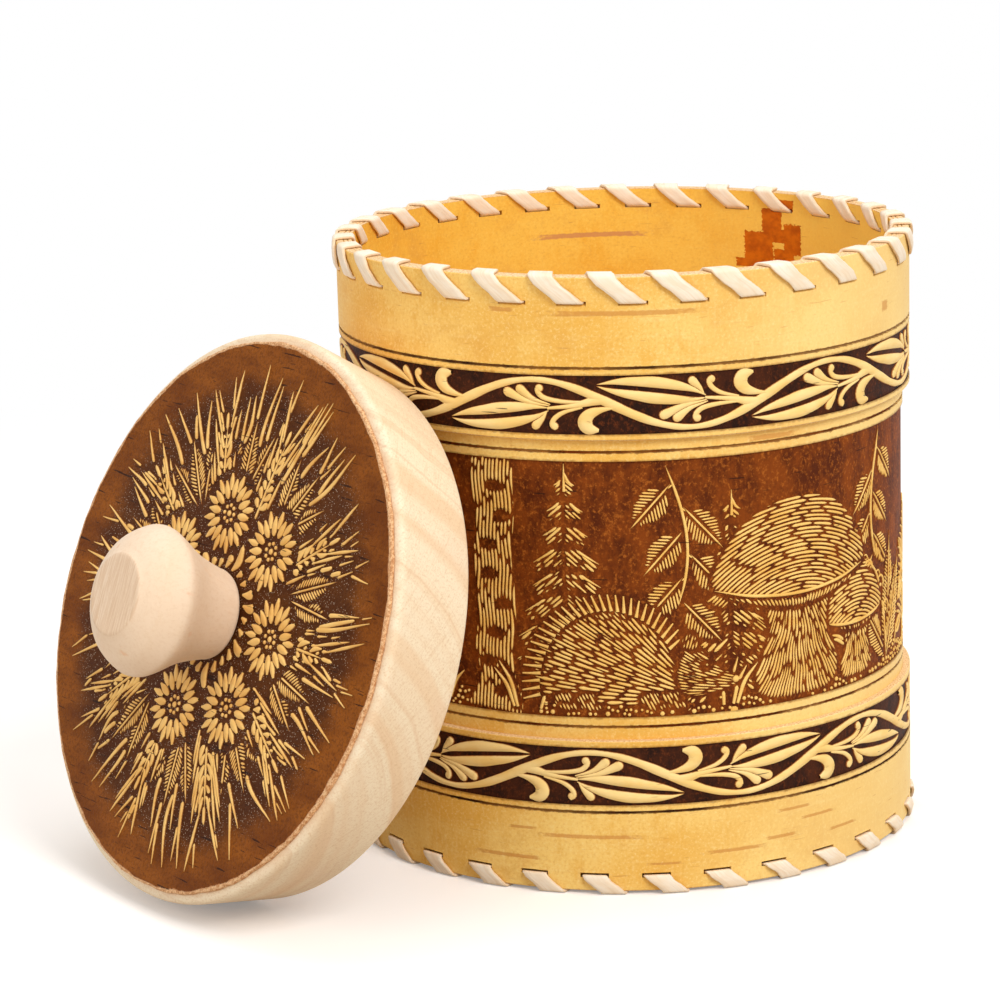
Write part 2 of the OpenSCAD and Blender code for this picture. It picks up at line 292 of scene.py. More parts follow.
def bark_colour(s, place, plain, warm, pale):
    """The smooth inner face of birch bark: soft clouds, faint streaks round it and fine pores, and a
    painted highlight that pales it towards +x, the box's right side where the key lamp falls.
    """
    clouds = s.noise(place, (0.03, 0.03, 0.05), 2)
    streaks = s.noise(place, (0.07, 0.07, 1.1), 4, shift=7)
    fine = s.noise(place, (0.35, 0.35, 5.0), 2, shift=31)
    blotches = s.noise(place, (0.16, 0.16, 0.1), 5, 0.65, shift=67)
    stains = s.noise(place, (0.07, 0.07, 0.09), 6, 0.7, shift=71)
    strained = s.noise(place, (1.1, 1.1, 0.09), shift=83)
    speckle = s.noise(place, (1.7, 1.7, 1.7), 3, 0.7, shift=97)
    pores = s.noise(place, (0.2, 0.2, 3.4), 1, shift=53)
    colour = s.layers(s.mix(s.step(clouds, 0.35, 0.7), plain, warm),
                      (streaks, 0.5, 0.75, 0.22, pale), (fine, 0.55, 0.8, 0.18, warm),
                      (blotches, 0.48, 0.7, 0.8, warm), (strained, 0.52, 0.72, 0.14, pale),
                      (stains, 0.5, 0.7, 0.5, STAIN), (speckle, 0.5, 0.7, 0.42, STAIN),
                      # The row on x pales the colour from x = 0 to 62 mm: a painted highlight on the box's
                      # right side, where the key lamp falls.
                      (speckle, 0.48, 0.3, 0.5, pale), (s.split(place)[0], 0.0, 62.0, 0.55, pale),
                      (pores, 0.715, 0.78, 0.55, PORE))
    return colour, s.add(s.times(streaks, 0.4), s.times(fine, 0.6))


def with_lenticels(s, place, colour, share):
    """The colour with the short dark lines that run round the bark."""
    lines = s.noise(place, (0.13, 0.13, 2.1), 1, shift=61)
    return s.layers(colour, (lines, 0.735, 0.765, share, CRACK))


def ground_colour(s, place, dark, middle, light):
    """The scorched ground between the raised ornament, with a grainy mottling."""
    clouds = s.noise(place, (0.2, 0.2, 0.12), 5, 0.75, shift=11)
    grain = s.noise(place, (1.3, 1.3, 1.1), 3, 0.7, shift=23)
    colour = s.layers(s.mix(s.step(clouds, 0.34, 0.66), dark, middle), (grain, 0.5, 0.72, 0.75, light))
    return with_lenticels(s, place, colour, 0.85), grain


def marks(s, angle, height, spots, ragged=1.1, soft=0.25, fine=1.0):
    """Share of a bark mark at each point; a spot is (angle, height, half angle, half height)."""
    wobble = s.noise(s.join(s.times(angle, 0.9 * fine), s.times(height, 1.3 * fine)))
    edge = 1 + 0.5 * ragged
    total = 0.0
    for at, z, half_angle, half_height in spots:
        across = s.times(s.math("ABSOLUTE", s.less(angle, at)), 1 / half_angle)
        up = s.times(s.math("ABSOLUTE", s.less(height, z)), 1 / half_height)
        far = s.add(s.most(across, up), s.times(wobble, ragged))
        total = s.most(total, s.step(far, edge + soft, edge - soft))
    return total


def cylinder_place(s):
    """The place, the angle about the box in degrees, the distance from its axis and the height."""
    place = s.place()
    x, y, z = s.split(place)
    return place, s.times(s.math("ARCTAN2", y, x), 180 / math.pi), s.hypot(x, y), z


def with_cut_edges(s, colour, radius, angle, z, ends):
    """The colour with the bark's rough layers at its ends; an end is (height, 1 for up or -1)."""
    layers = s.noise(s.join(s.times(radius, 3.0), s.times(angle, 1.7)), 1.0, 4, 0.7)
    edge = 0.0
    for end, side in ends:
        edge = s.most(edge, s.step(z, end - side * EDGE_FROM, end - side * EDGE_TO))
    return s.mix(s.times(edge, 0.9), colour, s.mix(s.step(layers, 0.42, 0.6), CUT_EDGE, CUT_EDGE_DARK))


def sheet_material(name, surface, low, high, ground, lines, spots, ground_colours):
    """A rolled bark sheet: plain bark with its scorched ground, pressed lines and cut edges."""
    s = Shade(name, roughness=0.5, shine=0.1)
    place, angle, radius, z = cylinder_place(s)
    colour, relief = bark_colour(s, place, GOLD, GOLD_WARM, GOLD_PALE)
    colour = s.mix(s.times(marks(s, angle, z, spots), 0.7), colour, PORE)
    dark, grain = ground_colour(s, place, *ground_colours)
    wander = s.noise(place, (0.8, 0.8, 0.8), shift=3)
    broken = s.noise(place, (0.05, 0.05, 0.2), shift=77)
    toast = 0.0
    for edges, reach in [(ground, 1.0)] + [(line, 0.6) for line in lines]:
        away = s.most(s.less(edges[0], z), s.less(z, edges[1]))
        toast = s.most(toast, s.step(s.add(away, s.times(wander, 0.9)), reach, 0.35))
    pressed = s.step(radius, surface - 0.5 * EMBOSS_DEPTH, surface - 0.8 * EMBOSS_DEPTH)
    art_low = min(edges[0] for edges in [ground] + lines) - ART_MARGIN
    art_high = max(edges[1] for edges in [ground] + lines) + ART_MARGIN
    pressed = s.times(pressed, s.math("COMPARE", z, (art_low + art_high) / 2, (art_high - art_low) / 2))
    for edges in lines:
        faded = s.times(s.math("COMPARE", z, sum(edges) / 2, 1.0), s.step(broken, 0.42, 0.6))
        pressed = s.math("SUBTRACT", pressed, s.times(faded, 0.75), clamp=True)
    colour = s.mix(pressed, s.mix(s.times(toast, 0.7), colour, TOAST), dark)
    colour = with_cut_edges(s, colour, radius, angle, z, [(high, 1), (low, -1)])
    height = s.add(s.times(relief, 0.35), s.times(s.times(grain, pressed), 1.4))
    return s.finish(colour, s.bump(height, 0.12, 0.8), s.add(0.48, s.times(pressed, 0.12)))


# Blocks of the patch where the lining's top film is torn off: (angle, height, half angle, half height)
TORN = [(50.6, 128.6, 2.5, 1.3), (54, 125, 2.6, 2.6), (57.4, 118.5, 3.7, 3.6), (59.6, 114.7, 3.6, 1.0),
        (48.3, 120.8, 2.4, 3.5), (50.6, 116.4, 2.8, 2.0), (53, 121.4, 3.0, 1.6)]


def inner_material():
    """The lining: deeper orange bark, with a long pore and a patch where the top film is torn off."""
    s = Shade("inner_bark_lining", roughness=0.5, shine=0.15)
    place, angle, radius, z = cylinder_place(s)
    colour, relief = bark_colour(s, place, LINING, LINING_WARM, LINING_PALE)
    torn = marks(s, angle, z, TORN, ragged=0.5, soft=0.03, fine=1.4)
    tone = s.noise(place, (0.4, 0.4, 0.5), 4, shift=91)
    torn_colour = s.mix(s.step(tone, 0.35, 0.7), rgb(212, 110, 8), rgb(180, 84, 4))
    streak = marks(s, angle, z, [(97, 120.8, 11.5, 0.55), (132, 96, 9, 0.4), (70, 60, 8, 0.5),
                                 (-60, 84, 10, 0.5), (-120, 40, 9, 0.4)])
    colour = s.mix(torn, s.mix(s.times(streak, 0.8), colour, rgb(206, 140, 92)), torn_colour)
    colour = with_cut_edges(s, colour, radius, angle, z, [(UPPER_HIGH, 1)])
    return s.finish(colour, s.bump(s.add(s.times(relief, 0.4), s.times(torn, -0.5)), 0.12, 0.8))


def relief_material(name, gold, deep, rim):
    """Raised bark ornament: golden on top, brown down its sides, partly scorch and partly painted shade.
    """
    s = Shade(name, roughness=0.5, shine=0.15)
    place = s.place()
    tone = s.noise(place, (0.12, 0.12, 0.3))
    fine = s.noise(place, (1.5, 1.5, 2.5), shift=19)
    top = s.mix(s.step(tone, 0.35, 0.7), gold, deep)
    # Low rim values, down the strokes' sides, turn to the rim colour: partly scorch and partly painted
    # shade.
    scorch_and_shade = s.add(s.attribute("rim", 2), s.times(s.less(fine, 0.5), 0.5))
    colour = with_lenticels(s, place, s.mix(s.step(scorch_and_shade, 0.78, 0.18), top, rim), 0.8)
    return s.finish(colour, s.bump(fine, 0.08, 0.6))


def lid_ground_material():
    """The scorched face of the bark disc, with dark cracks, pale specks over the wreath that are painted
    glints of its slight gloss, and its reddish cut edge.
    """
    s = Shade("embossed_disc_ground", roughness=0.55, shine=0.08)
    loc = s.attribute("loc", 1)
    x, y, _ = s.split(loc)
    clouds = s.noise(loc, (0.05, 0.12, 0.1), 4, 0.6)
    grain = s.noise(loc, (1.6, 1.6, 1.6), 4, 0.75, shift=9)
    painted_glints = s.node("TexVoronoi", {"Vector": s.stretch(loc, (1.9, 1.9, 1.9)), "Scale": 1.0})
    cracks = s.noise(loc, (0.1, 1.3, 0.4), 2, shift=41)
    radius = s.hypot(x, y)
    art = s.step(s.add(radius, s.times(clouds, 8.0)), 57, 49)
    colour = s.mix(s.step(clouds, 0.3, 0.7), rgb(112, 56, 10), rgb(150, 84, 24))
    colour = s.layers(colour, (grain, 0.54, 0.36, 0.55, rgb(84, 40, 8)))
    colour = s.mix(s.times(art, 0.72), colour, rgb(52, 24, 10))
    # Pale specks over the wreath's ground: painted glints, in place of the bark's slight gloss.
    colour = s.mix(s.times(s.times(s.step(painted_glints, 0.26, 0.1), art), 0.8), colour, rgb(216, 190, 166))
    colour = s.layers(colour, (cracks, 0.665, 0.69, 0.85, rgb(34, 16, 8)))
    ragged = s.add(s.times(grain, 1.5), s.times(s.noise(loc, 0.16, 2), 1.8))
    edge = s.step(s.add(radius, ragged), LID_BARK_R + 0.6, LID_BARK_R + 0.9)
    colour = s.mix(edge, colour, s.mix(s.step(grain, 0.4, 0.6), rgb(240, 196, 148), rgb(196, 136, 88)))
    return s.finish(colour, s.bump(s.add(grain, s.times(clouds, 0.5)), 0.25, 0.9))


def lacing_material():
    """The pale strip: fine fibres along it, slightly darker at its edges, each stitch its own tone."""
    s = Shade("lacing_strip", roughness=0.55, shine=0.3)
    along, across, stitch = s.split(s.attribute("strip", 1))
    fibres = s.noise(s.join(s.times(along, 0.09), s.times(across, 5.5), stitch), 1.0, 4, 0.65)
    clouds = s.noise(s.join(s.times(along, 0.25), across, stitch), 1.0, 2)
    side = s.add(s.math("ABSOLUTE", across), s.times(fibres, 0.25))
    colour = s.layers(s.mix(s.step(clouds, 0.35, 0.7), rgb(250, 235, 213), rgb(246, 224, 194)),
                      (fibres, 0.46, 0.7, 0.5, rgb(234, 204, 166)),
                      (side, 1.02, 1.12, 0.5, rgb(220, 180, 132)))
    return s.finish(colour, s.bump(fibres, 0.1, 0.8))


def lid_wood_material():
    """Pale wood whose rings cross the lid's side in slanting arcs, with saw marks across them."""
    s = Shade("lid_side_grain", roughness=0.6, shine=0.25)
    loc = s.attribute("loc", 1)
    x, y, z = s.split(loc)
    pith = s.join(s.less(y, -62.0), s.less(z, 34.0))
    far = s.add(s.node("VectorMath", {0: pith}, out=1, operation="LENGTH"),
                s.times(s.noise(loc, (0.03, 0.03, 0.03)), 6.0))
    rings = s.noise(s.join(s.times(far, 0.17)), 1.0, 1)
    late = s.noise(s.join(s.times(far, 0.8), s.times(x, 0.04)), 1.0, 2)
    clouds = s.noise(loc, (0.05, 0.05, 0.05), 2, shift=13)
    sawn = s.noise(s.join(s.times(s.add(s.times(y, 0.7), z), 2.4), s.times(x, 0.2)))
    pores = s.noise(loc, (2.0, 2.0, 2.0), 4, 0.75, shift=33)
    colour = s.layers(s.mix(s.step(rings, 0.44, 0.62), rgb(246, 226, 194), rgb(239, 208, 170)),
                      (late, 0.54, 0.7, 0.34, rgb(224, 182, 140)),
                      (clouds, 0.5, 0.75, 0.35, rgb(240, 206, 176)),
                      (sawn, 0.5, 0.7, 0.4, rgb(226, 190, 148)),
                      (pores, 0.48, 0.66, 0.55, rgb(220, 182, 138)))
    return s.finish(colour, s.bump(s.add(s.times(sawn, 0.6), s.times(pores, 0.5)), 0.12, 0.7))


def base_wood_material():
    s = Shade("base_board", roughness=0.65)
    place = s.place()
    strands = s.noise(place, (0.04, 0.8, 0.8), 4, 0.6)
    rings = s.noise(place, (0.01, 0.12, 0.12), 2)
    colour = s.layers(s.mix(s.step(rings, 0.35, 0.65), rgb(240, 214, 178), rgb(224, 188, 144)),
                      (strands, 0.5, 0.75, 0.5, rgb(206, 164, 118)))
    return s.finish(colour, s.bump(strands, 0.12, 0.7))


def knob_material():
    """Turned wood with grain along the knob, fine tool rings round it and saw lines on its flat."""
    s = Shade("knob_turned_wood", roughness=0.6, shine=0.25)
    loc = s.attribute("loc", 1)
    x, y, z = s.split(loc)
    far = s.add(s.hypot(s.less(x, 30), s.less(z, -20)), s.times(s.noise(loc, (0.02, 0.02, 0.02), 2), 14.0))
    rings = s.math("FRACT", s.times(far, 1 / 9.0))
    band = s.times(s.step(rings, 0.25, 0.92), s.step(rings, 1.0, 0.94))
    strands = s.noise(loc, (0.9, 0.9, 0.12), 4, 0.6)
    clouds = s.noise(loc, (0.04, 0.02, 0.04), 2, shift=13)
    mottled = s.noise(loc, (1.6, 1.6, 0.9), 4, 0.7, shift=29)
    spots = s.noise(loc, (0.3, 0.3, 0.16), 2, shift=5)
    flat = s.step(z, KNOB_TOP - 0.35, KNOB_TOP - 0.1)
    turned = s.noise(s.join(s.times(z, 3.2)))
    sawn = s.noise(s.join(s.times(x, 2.6), s.times(y, 0.12)))
    pale, dark = rgb(240, 214, 186), rgb(228, 194, 158)
    colour = s.layers(s.mix(s.times(band, 0.15), pale, dark), (strands, 0.48, 0.75, 0.35, dark),
                      (clouds, 0.45, 0.75, 0.3, rgb(236, 200, 160)),
                      (mottled, 0.48, 0.68, 0.4, rgb(226, 192, 156)),
                      (spots, 0.66, 0.78, 0.5, rgb(228, 162, 100)))
    colour = s.mix(s.times(flat, s.step(sawn, 0.4, 0.62)), colour, rgb(226, 192, 158))
    height = s.add(s.times(turned, 0.5), s.times(s.times(sawn, flat), 1.5))
    return s.finish(colour, s.bump(s.add(height, s.times(strands, 0.6)), 0.12, 0.8))


def steel_material():
    s = Shade("screw_zinc", roughness=0.35)
    s.shader.inputs["Metallic"].default_value = 1.0
    grain = s.noise(s.place(), 0.8)
    colour = s.mix(grain, rgb(190, 188, 182), rgb(150, 148, 142))
    return s.finish(colour, s.bump(grain, 0.05, 0.4), s.add(0.25, s.times(grain, 0.3)))


# ---------------------------------------------------------------- drawing raised ornament

def spline_rows(p, step):
    """Rows along a smooth curve through all points but the first and last, without its end."""
    rows = []
    for a, b, c, d in zip(p, p[1:], p[2:], p[3:]):
        count = max(1, int(np.linalg.norm(c[:2] - b[:2]) / step))
        t = (np.arange(count) / count)[:, None]
        rows.append(0.5 * (2 * b + (c - a) * t + (2 * a - 5 * b + 4 * c - d) * t ** 2
                           + (3 * b - a - 3 * c + d) * t ** 3))
    return rows


def smooth_path(points, step):
    """A smooth curve through rows of numbers whose first two columns are x and y."""
    p = np.asarray(points, float)
    if len(p) == 2:
        count = max(2, int(np.linalg.norm(p[1, :2] - p[0, :2]) / step) + 1)
        return p[0] + (p[1] - p[0]) * np.linspace(0, 1, count)[:, None]
    ends = np.vstack([2 * p[0] - p[1], p, 2 * p[-1] - p[-2]])
    return np.vstack(spline_rows(ends, step) + [p[-1:]])


def closed_path(points, step=0.5):
    """A smooth closed outline through the points."""
    p = np.asarray(points, float)
    return np.vstack(spline_rows(np.vstack([p[-1:], p, p[:2]]), step))


def polar(radius, angles):
    """Points at a distance from the origin, one for each angle."""
    return [(radius * math.cos(a), radius * math.sin(a)) for a in angles]


def sides(path):
    """The unit vector to the left of a path at each of its points."""
    ahead = np.gradient(path[:, :2], axis=0)
    ahead /= np.maximum(np.linalg.norm(ahead, axis=1), 1e-9)[:, None]
    return np.stack([-ahead[:, 1], ahead[:, 0]], axis=1)


class Relief:
    """Raised strokes and dots on a drawing plane in millimetres. Each point keeps a rim value, 0 at the
    foot and 1 on top, by which the material browns the sides: partly scorch and partly painted shade.
    """
    BEVEL = 0.16
    SUNK = -0.06

    def __init__(self):
        self.points, self.quads, self.tris, self.rims, self.count = [], [], [], [], 0

    def ribbon(self, path, half):
        """A raised stroke along a path with a half width at each point."""
        n = len(path)
        half = np.maximum(half, 0.03)
        bevel = np.minimum(self.BEVEL, 0.42 * half)
        share = np.stack([-half, bevel - half, 0 * half, half - bevel, half], axis=1)
        left = sides(path)
        flat = path[:, None, :2] + share[:, :, None] * left[:, None, :]
        top = np.clip(half / 0.3, 0.35, 1.0)
        foot, shoulder = np.full(n, self.SUNK), 0.86 * top
        height = np.stack([foot, shoulder, top, shoulder, foot], axis=1)
        # Thin strokes get lower rim values, so they come out browner all over: partly scorch and partly
        # painted shade.
        rim = np.tile([0, 0.8, 1, 0.8, 0], (n, 1)) * np.clip(half / 0.22, 0.3, 1)[:, None]
        rows = self.count + 5 * np.arange(n - 1)[:, None] + np.arange(4)
        self.quads.append(np.stack([rows + 5, rows, rows + 1, rows + 6], axis=-1).reshape(-1, 4))
        self.points.append(np.dstack([flat, height]).reshape(-1, 3))
        self.rims.append(rim.ravel())
        self.count += 5 * n

    def dot(self, x, y, r, flat=0.72, sides_of_dot=12):
        """A small raised button."""
        a = np.arange(sides_of_dot) * 2 * math.pi / sides_of_dot
        ring = np.stack([np.cos(a), np.sin(a)], axis=1)
        centre = np.array([x, y])
        rows = [np.column_stack([centre + ring * r, np.full(sides_of_dot, self.SUNK)]),
                np.column_stack([centre + ring * r * flat, np.full(sides_of_dot, 0.9)]),
                [[x, y, 1.0]]]
        k = np.arange(sides_of_dot)
        nxt = (k + 1) % sides_of_dot
        base = self.count
        self.quads.append(np.stack([k, nxt, nxt + sides_of_dot, k + sides_of_dot], axis=1) + base)
        self.tris.append(np.stack([k + sides_of_dot, nxt + sides_of_dot,
                                   np.full(sides_of_dot, 2 * sides_of_dot)], axis=1) + base)
        self.points.append(np.vstack(rows))
        self.rims.append(np.concatenate([np.zeros(sides_of_dot), np.full(sides_of_dot, 0.85), [1.0]]))
        self.count += 2 * sides_of_dot + 1

    def build(self, name, place):
        """The mesh object, with each drawing point (x, y, height share) carried to its place."""
        points = np.vstack(self.points)
        tris = np.vstack(self.tris) if self.tris else ()
        return build_mesh(name, place(points), np.vstack(self.quads), tris,
                          {"rim": np.concatenate(self.rims)})


# Length of the straight bits that a hatching stroke is made of, the dark furrow left between two
# strokes and the dark halo kept round a motif that stands in front
HATCH_STEP = 0.5
FURROW = 0.12
HALO = 0.4


class Art:
    """A drawing whose front motifs hide what is drawn after them. x and y are millimetres."""
    CELL = 0.15

    def __init__(self, x0, x1, y0, y1, seed, parts=1):
        self.corner = np.array([x0, y0])
        self.width = x1 - x0
        self.shape = (int((x1 - x0) / self.CELL) + 1, int((y1 - y0) / self.CELL) + 1)
        self.hidden = np.zeros(self.shape, bool)
        self.reliefs = [Relief() for _ in range(parts)]
        self.random = random.Random(seed)

    def relief(self, x):
        """The relief that holds what starts at x: a long drawing is cut into a few pieces."""
        share = (x - self.corner[0]) / self.width
        return self.reliefs[min(max(int(share * len(self.reliefs)), 0), len(self.reliefs) - 1)]

    def cells(self, path):
        index = ((np.asarray(path)[:, :2] - self.corner) / self.CELL).astype(int)
        good = ((index >= 0) & (index < self.shape)).all(axis=1)
        return np.clip(index, 0, np.array(self.shape) - 1), good

    def area(self, outline):
        """The cells inside a closed outline."""
        inside = np.zeros(self.shape, bool)
        low = np.clip(((outline.min(0) - self.corner) / self.CELL).astype(int), 0, self.shape)
        high = np.clip(((outline.max(0) - self.corner) / self.CELL).astype(int) + 2, 0, self.shape)
        if (high <= low).any():
            return inside
        gx, gy = np.meshgrid(*[self.corner[k] + (np.arange(low[k], high[k]) + 0.5) * self.CELL
                               for k in (0, 1)], indexing="ij")
        found = np.zeros(gx.shape, bool)
        for a, b in zip(outline, np.roll(outline, -1, axis=0)):
            if a[1] == b[1]:
                continue
            crosses = (gy < a[1]) != (gy < b[1])
            found ^= crosses & (gx < a[0] + (gy - a[1]) / (b[1] - a[1]) * (b[0] - a[0]))
        inside[low[0]:high[0], low[1]:high[1]] = found
        return inside

    def fill(self, grid, spots):
        spots = spots[((spots >= 0) & (spots < self.shape)).all(axis=1)]
        grid[spots[:, 0], spots[:, 1]] = True

    def mark(self, grid, path, reach):
        """Marks the cells within a distance of a path."""
        n = max(1, round(reach / self.CELL))
        span = np.arange(-n, n + 1)
        disc = np.argwhere(span[:, None] ** 2 + span ** 2 <= n * n) - n
        index, _ = self.cells(path)
        self.fill(grid, (index[:, None] + disc).reshape(-1, 2))

    def stroke(self, path, half, halo=0.0):
        """Draws the stretches of a stroke that nothing in front of it hides."""
        half = np.broadcast_to(half, len(path))
        index, good = self.cells(path)
        seen = good & ~self.hidden[index[:, 0], index[:, 1]]
        edges = np.flatnonzero(np.diff(np.concatenate([[0], seen.astype(int), [0]])))
        for a, b in zip(edges[::2], edges[1::2]):
            if b - a >= (7 if halo else 3):
                piece = half[a:b].copy()
                if a > 0:
                    piece[0] *= 0.4
                if b < len(path):
                    piece[-1] *= 0.4
                self.relief(path[a, 0]).ribbon(path[a:b], piece)
        if halo:
            self.mark(self.hidden, path, halo + 0.8 * half.max())

    def dot(self, x, y, r, **shape):
        """Draws a dot unless something in front hides its middle."""
        index, good = self.cells([[x, y]])
        if good[0] and not self.hidden[index[0, 0], index[0, 1]]:
            self.relief(x).dot(x, y, r, **shape)

    def hide(self, area):
        """Keeps what is drawn later out of an area and out of a narrow halo round it."""
        rows, columns = np.flatnonzero(area.any(1)), np.flatnonzero(area.any(0))
        if not len(rows):
            return
        n = round(HALO / self.CELL)
        box = area[rows[0]:rows[-1] + 1, columns[0]:columns[-1] + 1]
        grown = np.zeros((box.shape[0] + 2 * n, box.shape[1] + 2 * n), bool)
        for i in range(2 * n + 1):
            for j in range(2 * n + 1):
                if (i - n) ** 2 + (j - n) ** 2 <= n * n:
                    grown[i:i + box.shape[0], j:j + box.shape[1]] |= box
        self.fill(self.hidden, np.argwhere(grown) + [rows[0] - n, columns[0] - n])

    def streamlines(self, free, field, gap, length):
        """Lines that follow a direction field side by side, a gap apart, until an area is full."""
        rnd = self.random
        taken, crowded = np.zeros(self.shape, bool), np.zeros(self.shape, bool)

        def open_at(x, y, grid):
            i, j = int((x - self.corner[0]) / self.CELL), int((y - self.corner[1]) / self.CELL)
            return 0 <= i < self.shape[0] and 0 <= j < self.shape[1] and free[i, j] and not grid[i, j]

        def trace(x0, y0):
            reach = length * rnd.uniform(0.6, 1.3) / 2
            halves = []
            for sign in (-1, 1):
                x, y, half = x0, y0, []
                while len(half) * HATCH_STEP < reach:
                    dx, dy = field(x, y)
                    x, y = x + sign * HATCH_STEP * dx, y + sign * HATCH_STEP * dy
                    if not open_at(x, y, crowded):
                        break
                    half.append((x, y))
                halves.append(half)
            return np.array(halves[0][::-1] + [(x0, y0)] + halves[1])

        lines = []
        spots = np.argwhere(free)
        order = list(range(len(spots)))
        rnd.shuffle(order)
        for pick in order:
            starts = [self.corner + (spots[pick] + 0.5) * self.CELL]
            while starts:
                x, y = starts.pop(0)
                if not open_at(x, y, taken):
                    continue
                line = trace(x, y)
                if len(line) < 3:
                    continue
                lines.append(line)
                self.mark(taken, line, 0.93 * gap)
                self.mark(crowded, line, 0.58 * gap)
                left = sides(line)
                starts += [line[k] + left[k] * side * gap
                           for k in range(0, len(line), 2) for side in (1, -1)]
        return lines

    def hatch(self, area, field, gap, length):
        """Fills an area with strokes that follow a direction field. Each stroke swells until only a
        thin furrow is left between it and its neighbours."""
        free = area & ~self.hidden
        lines = self.streamlines(free, field, gap, length)
        if not lines:
            return
        labels = np.zeros(self.shape, np.int32)
        for number, line in enumerate(lines, 1):
            fine = np.arange(0, len(line) - 0.99, 0.25)
            index, _ = self.cells(np.column_stack([np.interp(fine, np.arange(len(line)), line[:, k])
                                                   for k in (0, 1)]))
            labels[index[:, 0], index[:, 1]] = number
        index, _ = self.cells(np.vstack(lines))
        own = np.repeat(np.arange(1, len(lines) + 1), [len(line) for line in lines])
        other, outside = np.full(len(own), 2 * gap), np.full(len(own), gap)
        n = int(1.5 * gap / self.CELL)
        for di in range(-n, n + 1):
            for dj in range(-n, n + 1):
                i = np.clip(index[:, 0] + di, 0, self.shape[0] - 1)
                j = np.clip(index[:, 1] + dj, 0, self.shape[1] - 1)
                far = math.hypot(di, dj) * self.CELL
                hit = (labels[i, j] > 0) & (labels[i, j] != own)
                other[hit] = np.minimum(other[hit], far)
                hit = ~free[i, j]
                outside[hit] = np.minimum(outside[hit], far)
        swell = np.clip(np.minimum((other - FURROW) / 2, outside), 0.12, 0.6 * gap)
        first = 0
        for line in lines:
            half = swell[first:first + len(line)]
            first += len(line)
            half[1:-1] = (half[:-2] + 2 * half[1:-1] + half[2:]) / 4
            t = np.linspace(0, 1, len(line))
            half = half * self.random.uniform(0.92, 1.06) * np.minimum(1, 0.4 + 5 * np.minimum(t, 1 - t))
            self.relief(line[0, 0]).ribbon(line, half)


class Pen:
    """Draws in a motif's own coordinates: moved, turned, scaled and mirrored onto the art."""

    def __init__(self, art, x=0.0, y=0.0, scale=1.0, turn=0.0, side=1):
        self.art, self.x, self.y, self.scale = art, x, y, scale
        a = math.radians(turn)
        self.matrix = np.array([[math.cos(a), -math.sin(a)], [math.sin(a), math.cos(a)]]) * scale
        if side < 0:
            self.matrix = self.matrix @ np.diag([-1, 1])
        self.back = np.linalg.inv(self.matrix)

    def to(self, points):
        points = np.asarray(points, float)
        moved = points[:, :2] @ self.matrix.T + [self.x, self.y]
        return np.column_stack([moved, points[:, 2:]]) if points.shape[1] > 2 else moved

    def line(self, points, half, step=0.45, halo=0.0):
        """A smooth stroke; half is its half width at each point, or one number for a stroke that
        tapers at both ends. A halo round it stays dark."""
        points = np.asarray(points, float)
        widths = np.broadcast_to(half, len(points)).astype(float)
        path = smooth_path(self.to(np.column_stack([points, widths])), step)
        width = path[:, 2].copy()
        if np.ndim(half) == 0:
            t = np.linspace(0, 1, len(path))
            width *= np.minimum(1, 0.25 + 4 * np.minimum(t, 1 - t))
        self.art.stroke(path[:, :2], width, halo)

    def outline(self, points, half):
        path = self.to(closed_path(points))
        self.art.stroke(np.vstack([path, path[:1]]), half)

    def area(self, points):
        return self.art.area(self.to(closed_path(points)))

    def hide(self, points):
        self.art.hide(self.area(points))

    def hatch(self, points, field, gap=0.84, length=6.0):
        """Hatches an outline of the motif; the field gives a direction at a point of the motif."""
        def moved(x, y):
            local = self.back @ np.array([x - self.x, y - self.y])
            d = self.matrix @ np.array(field(local[0], local[1]))
            size = math.hypot(d[0], d[1]) or 1.0
            return d[0] / size, d[1] / size
        self.art.hatch(self.area(points), moved, gap, length)

    def dot(self, x, y, r):
        self.art.dot(*self.to([[x, y]])[0], r)

    def leaf(self, base, tip, width, sag=0.0, vein=0.5, wide=0.42):
        """Two raised lobes with a dark midrib between them."""
        base, tip = np.array(base, float), np.array(tip, float)
        along = tip - base
        left = np.array([-along[1], along[0]]) / np.linalg.norm(along)
        t = np.linspace(0, 1, 9)
        middle = base + along * t[:, None] + left * (sag * 4 * t * (1 - t))[:, None]
        swell = np.interp(t, [0, wide * 0.5, wide, 0.72, 0.9, 1], [0.1, 0.72, 1, 0.74, 0.34, 0.05])
        lobe = np.maximum((width - vein) / 4 * swell, 0.06)
        gap = vein / 2 * np.interp(t, [0, 0.1, 0.85, 1], [0.3, 1, 0.8, 0.2])
        for side in (1, -1):
            self.line(middle + left * (side * (gap + lobe))[:, None], lobe * self.scale)


def round_the_box(surface, angle, points, z):
    """Drawing points carried onto a pressed field: their third column is a share of its depth."""
    r = surface - EMBOSS_DEPTH + points[:, 2] * (EMBOSS_DEPTH - EMBOSS_SPARE)
    return np.column_stack([r * np.cos(angle), r * np.sin(angle), z])


# ---------------------------------------------------------------- the running vine of the bands

HALF_PERIOD, HALF_PERIODS = 32.7, 12
VINE_STRETCH = 1.055
STEM_SWING = 5.15
# Compass directions of the stem's first crest on each band
UPPER_CREST, LOWER_CREST = -107.3, -98.0


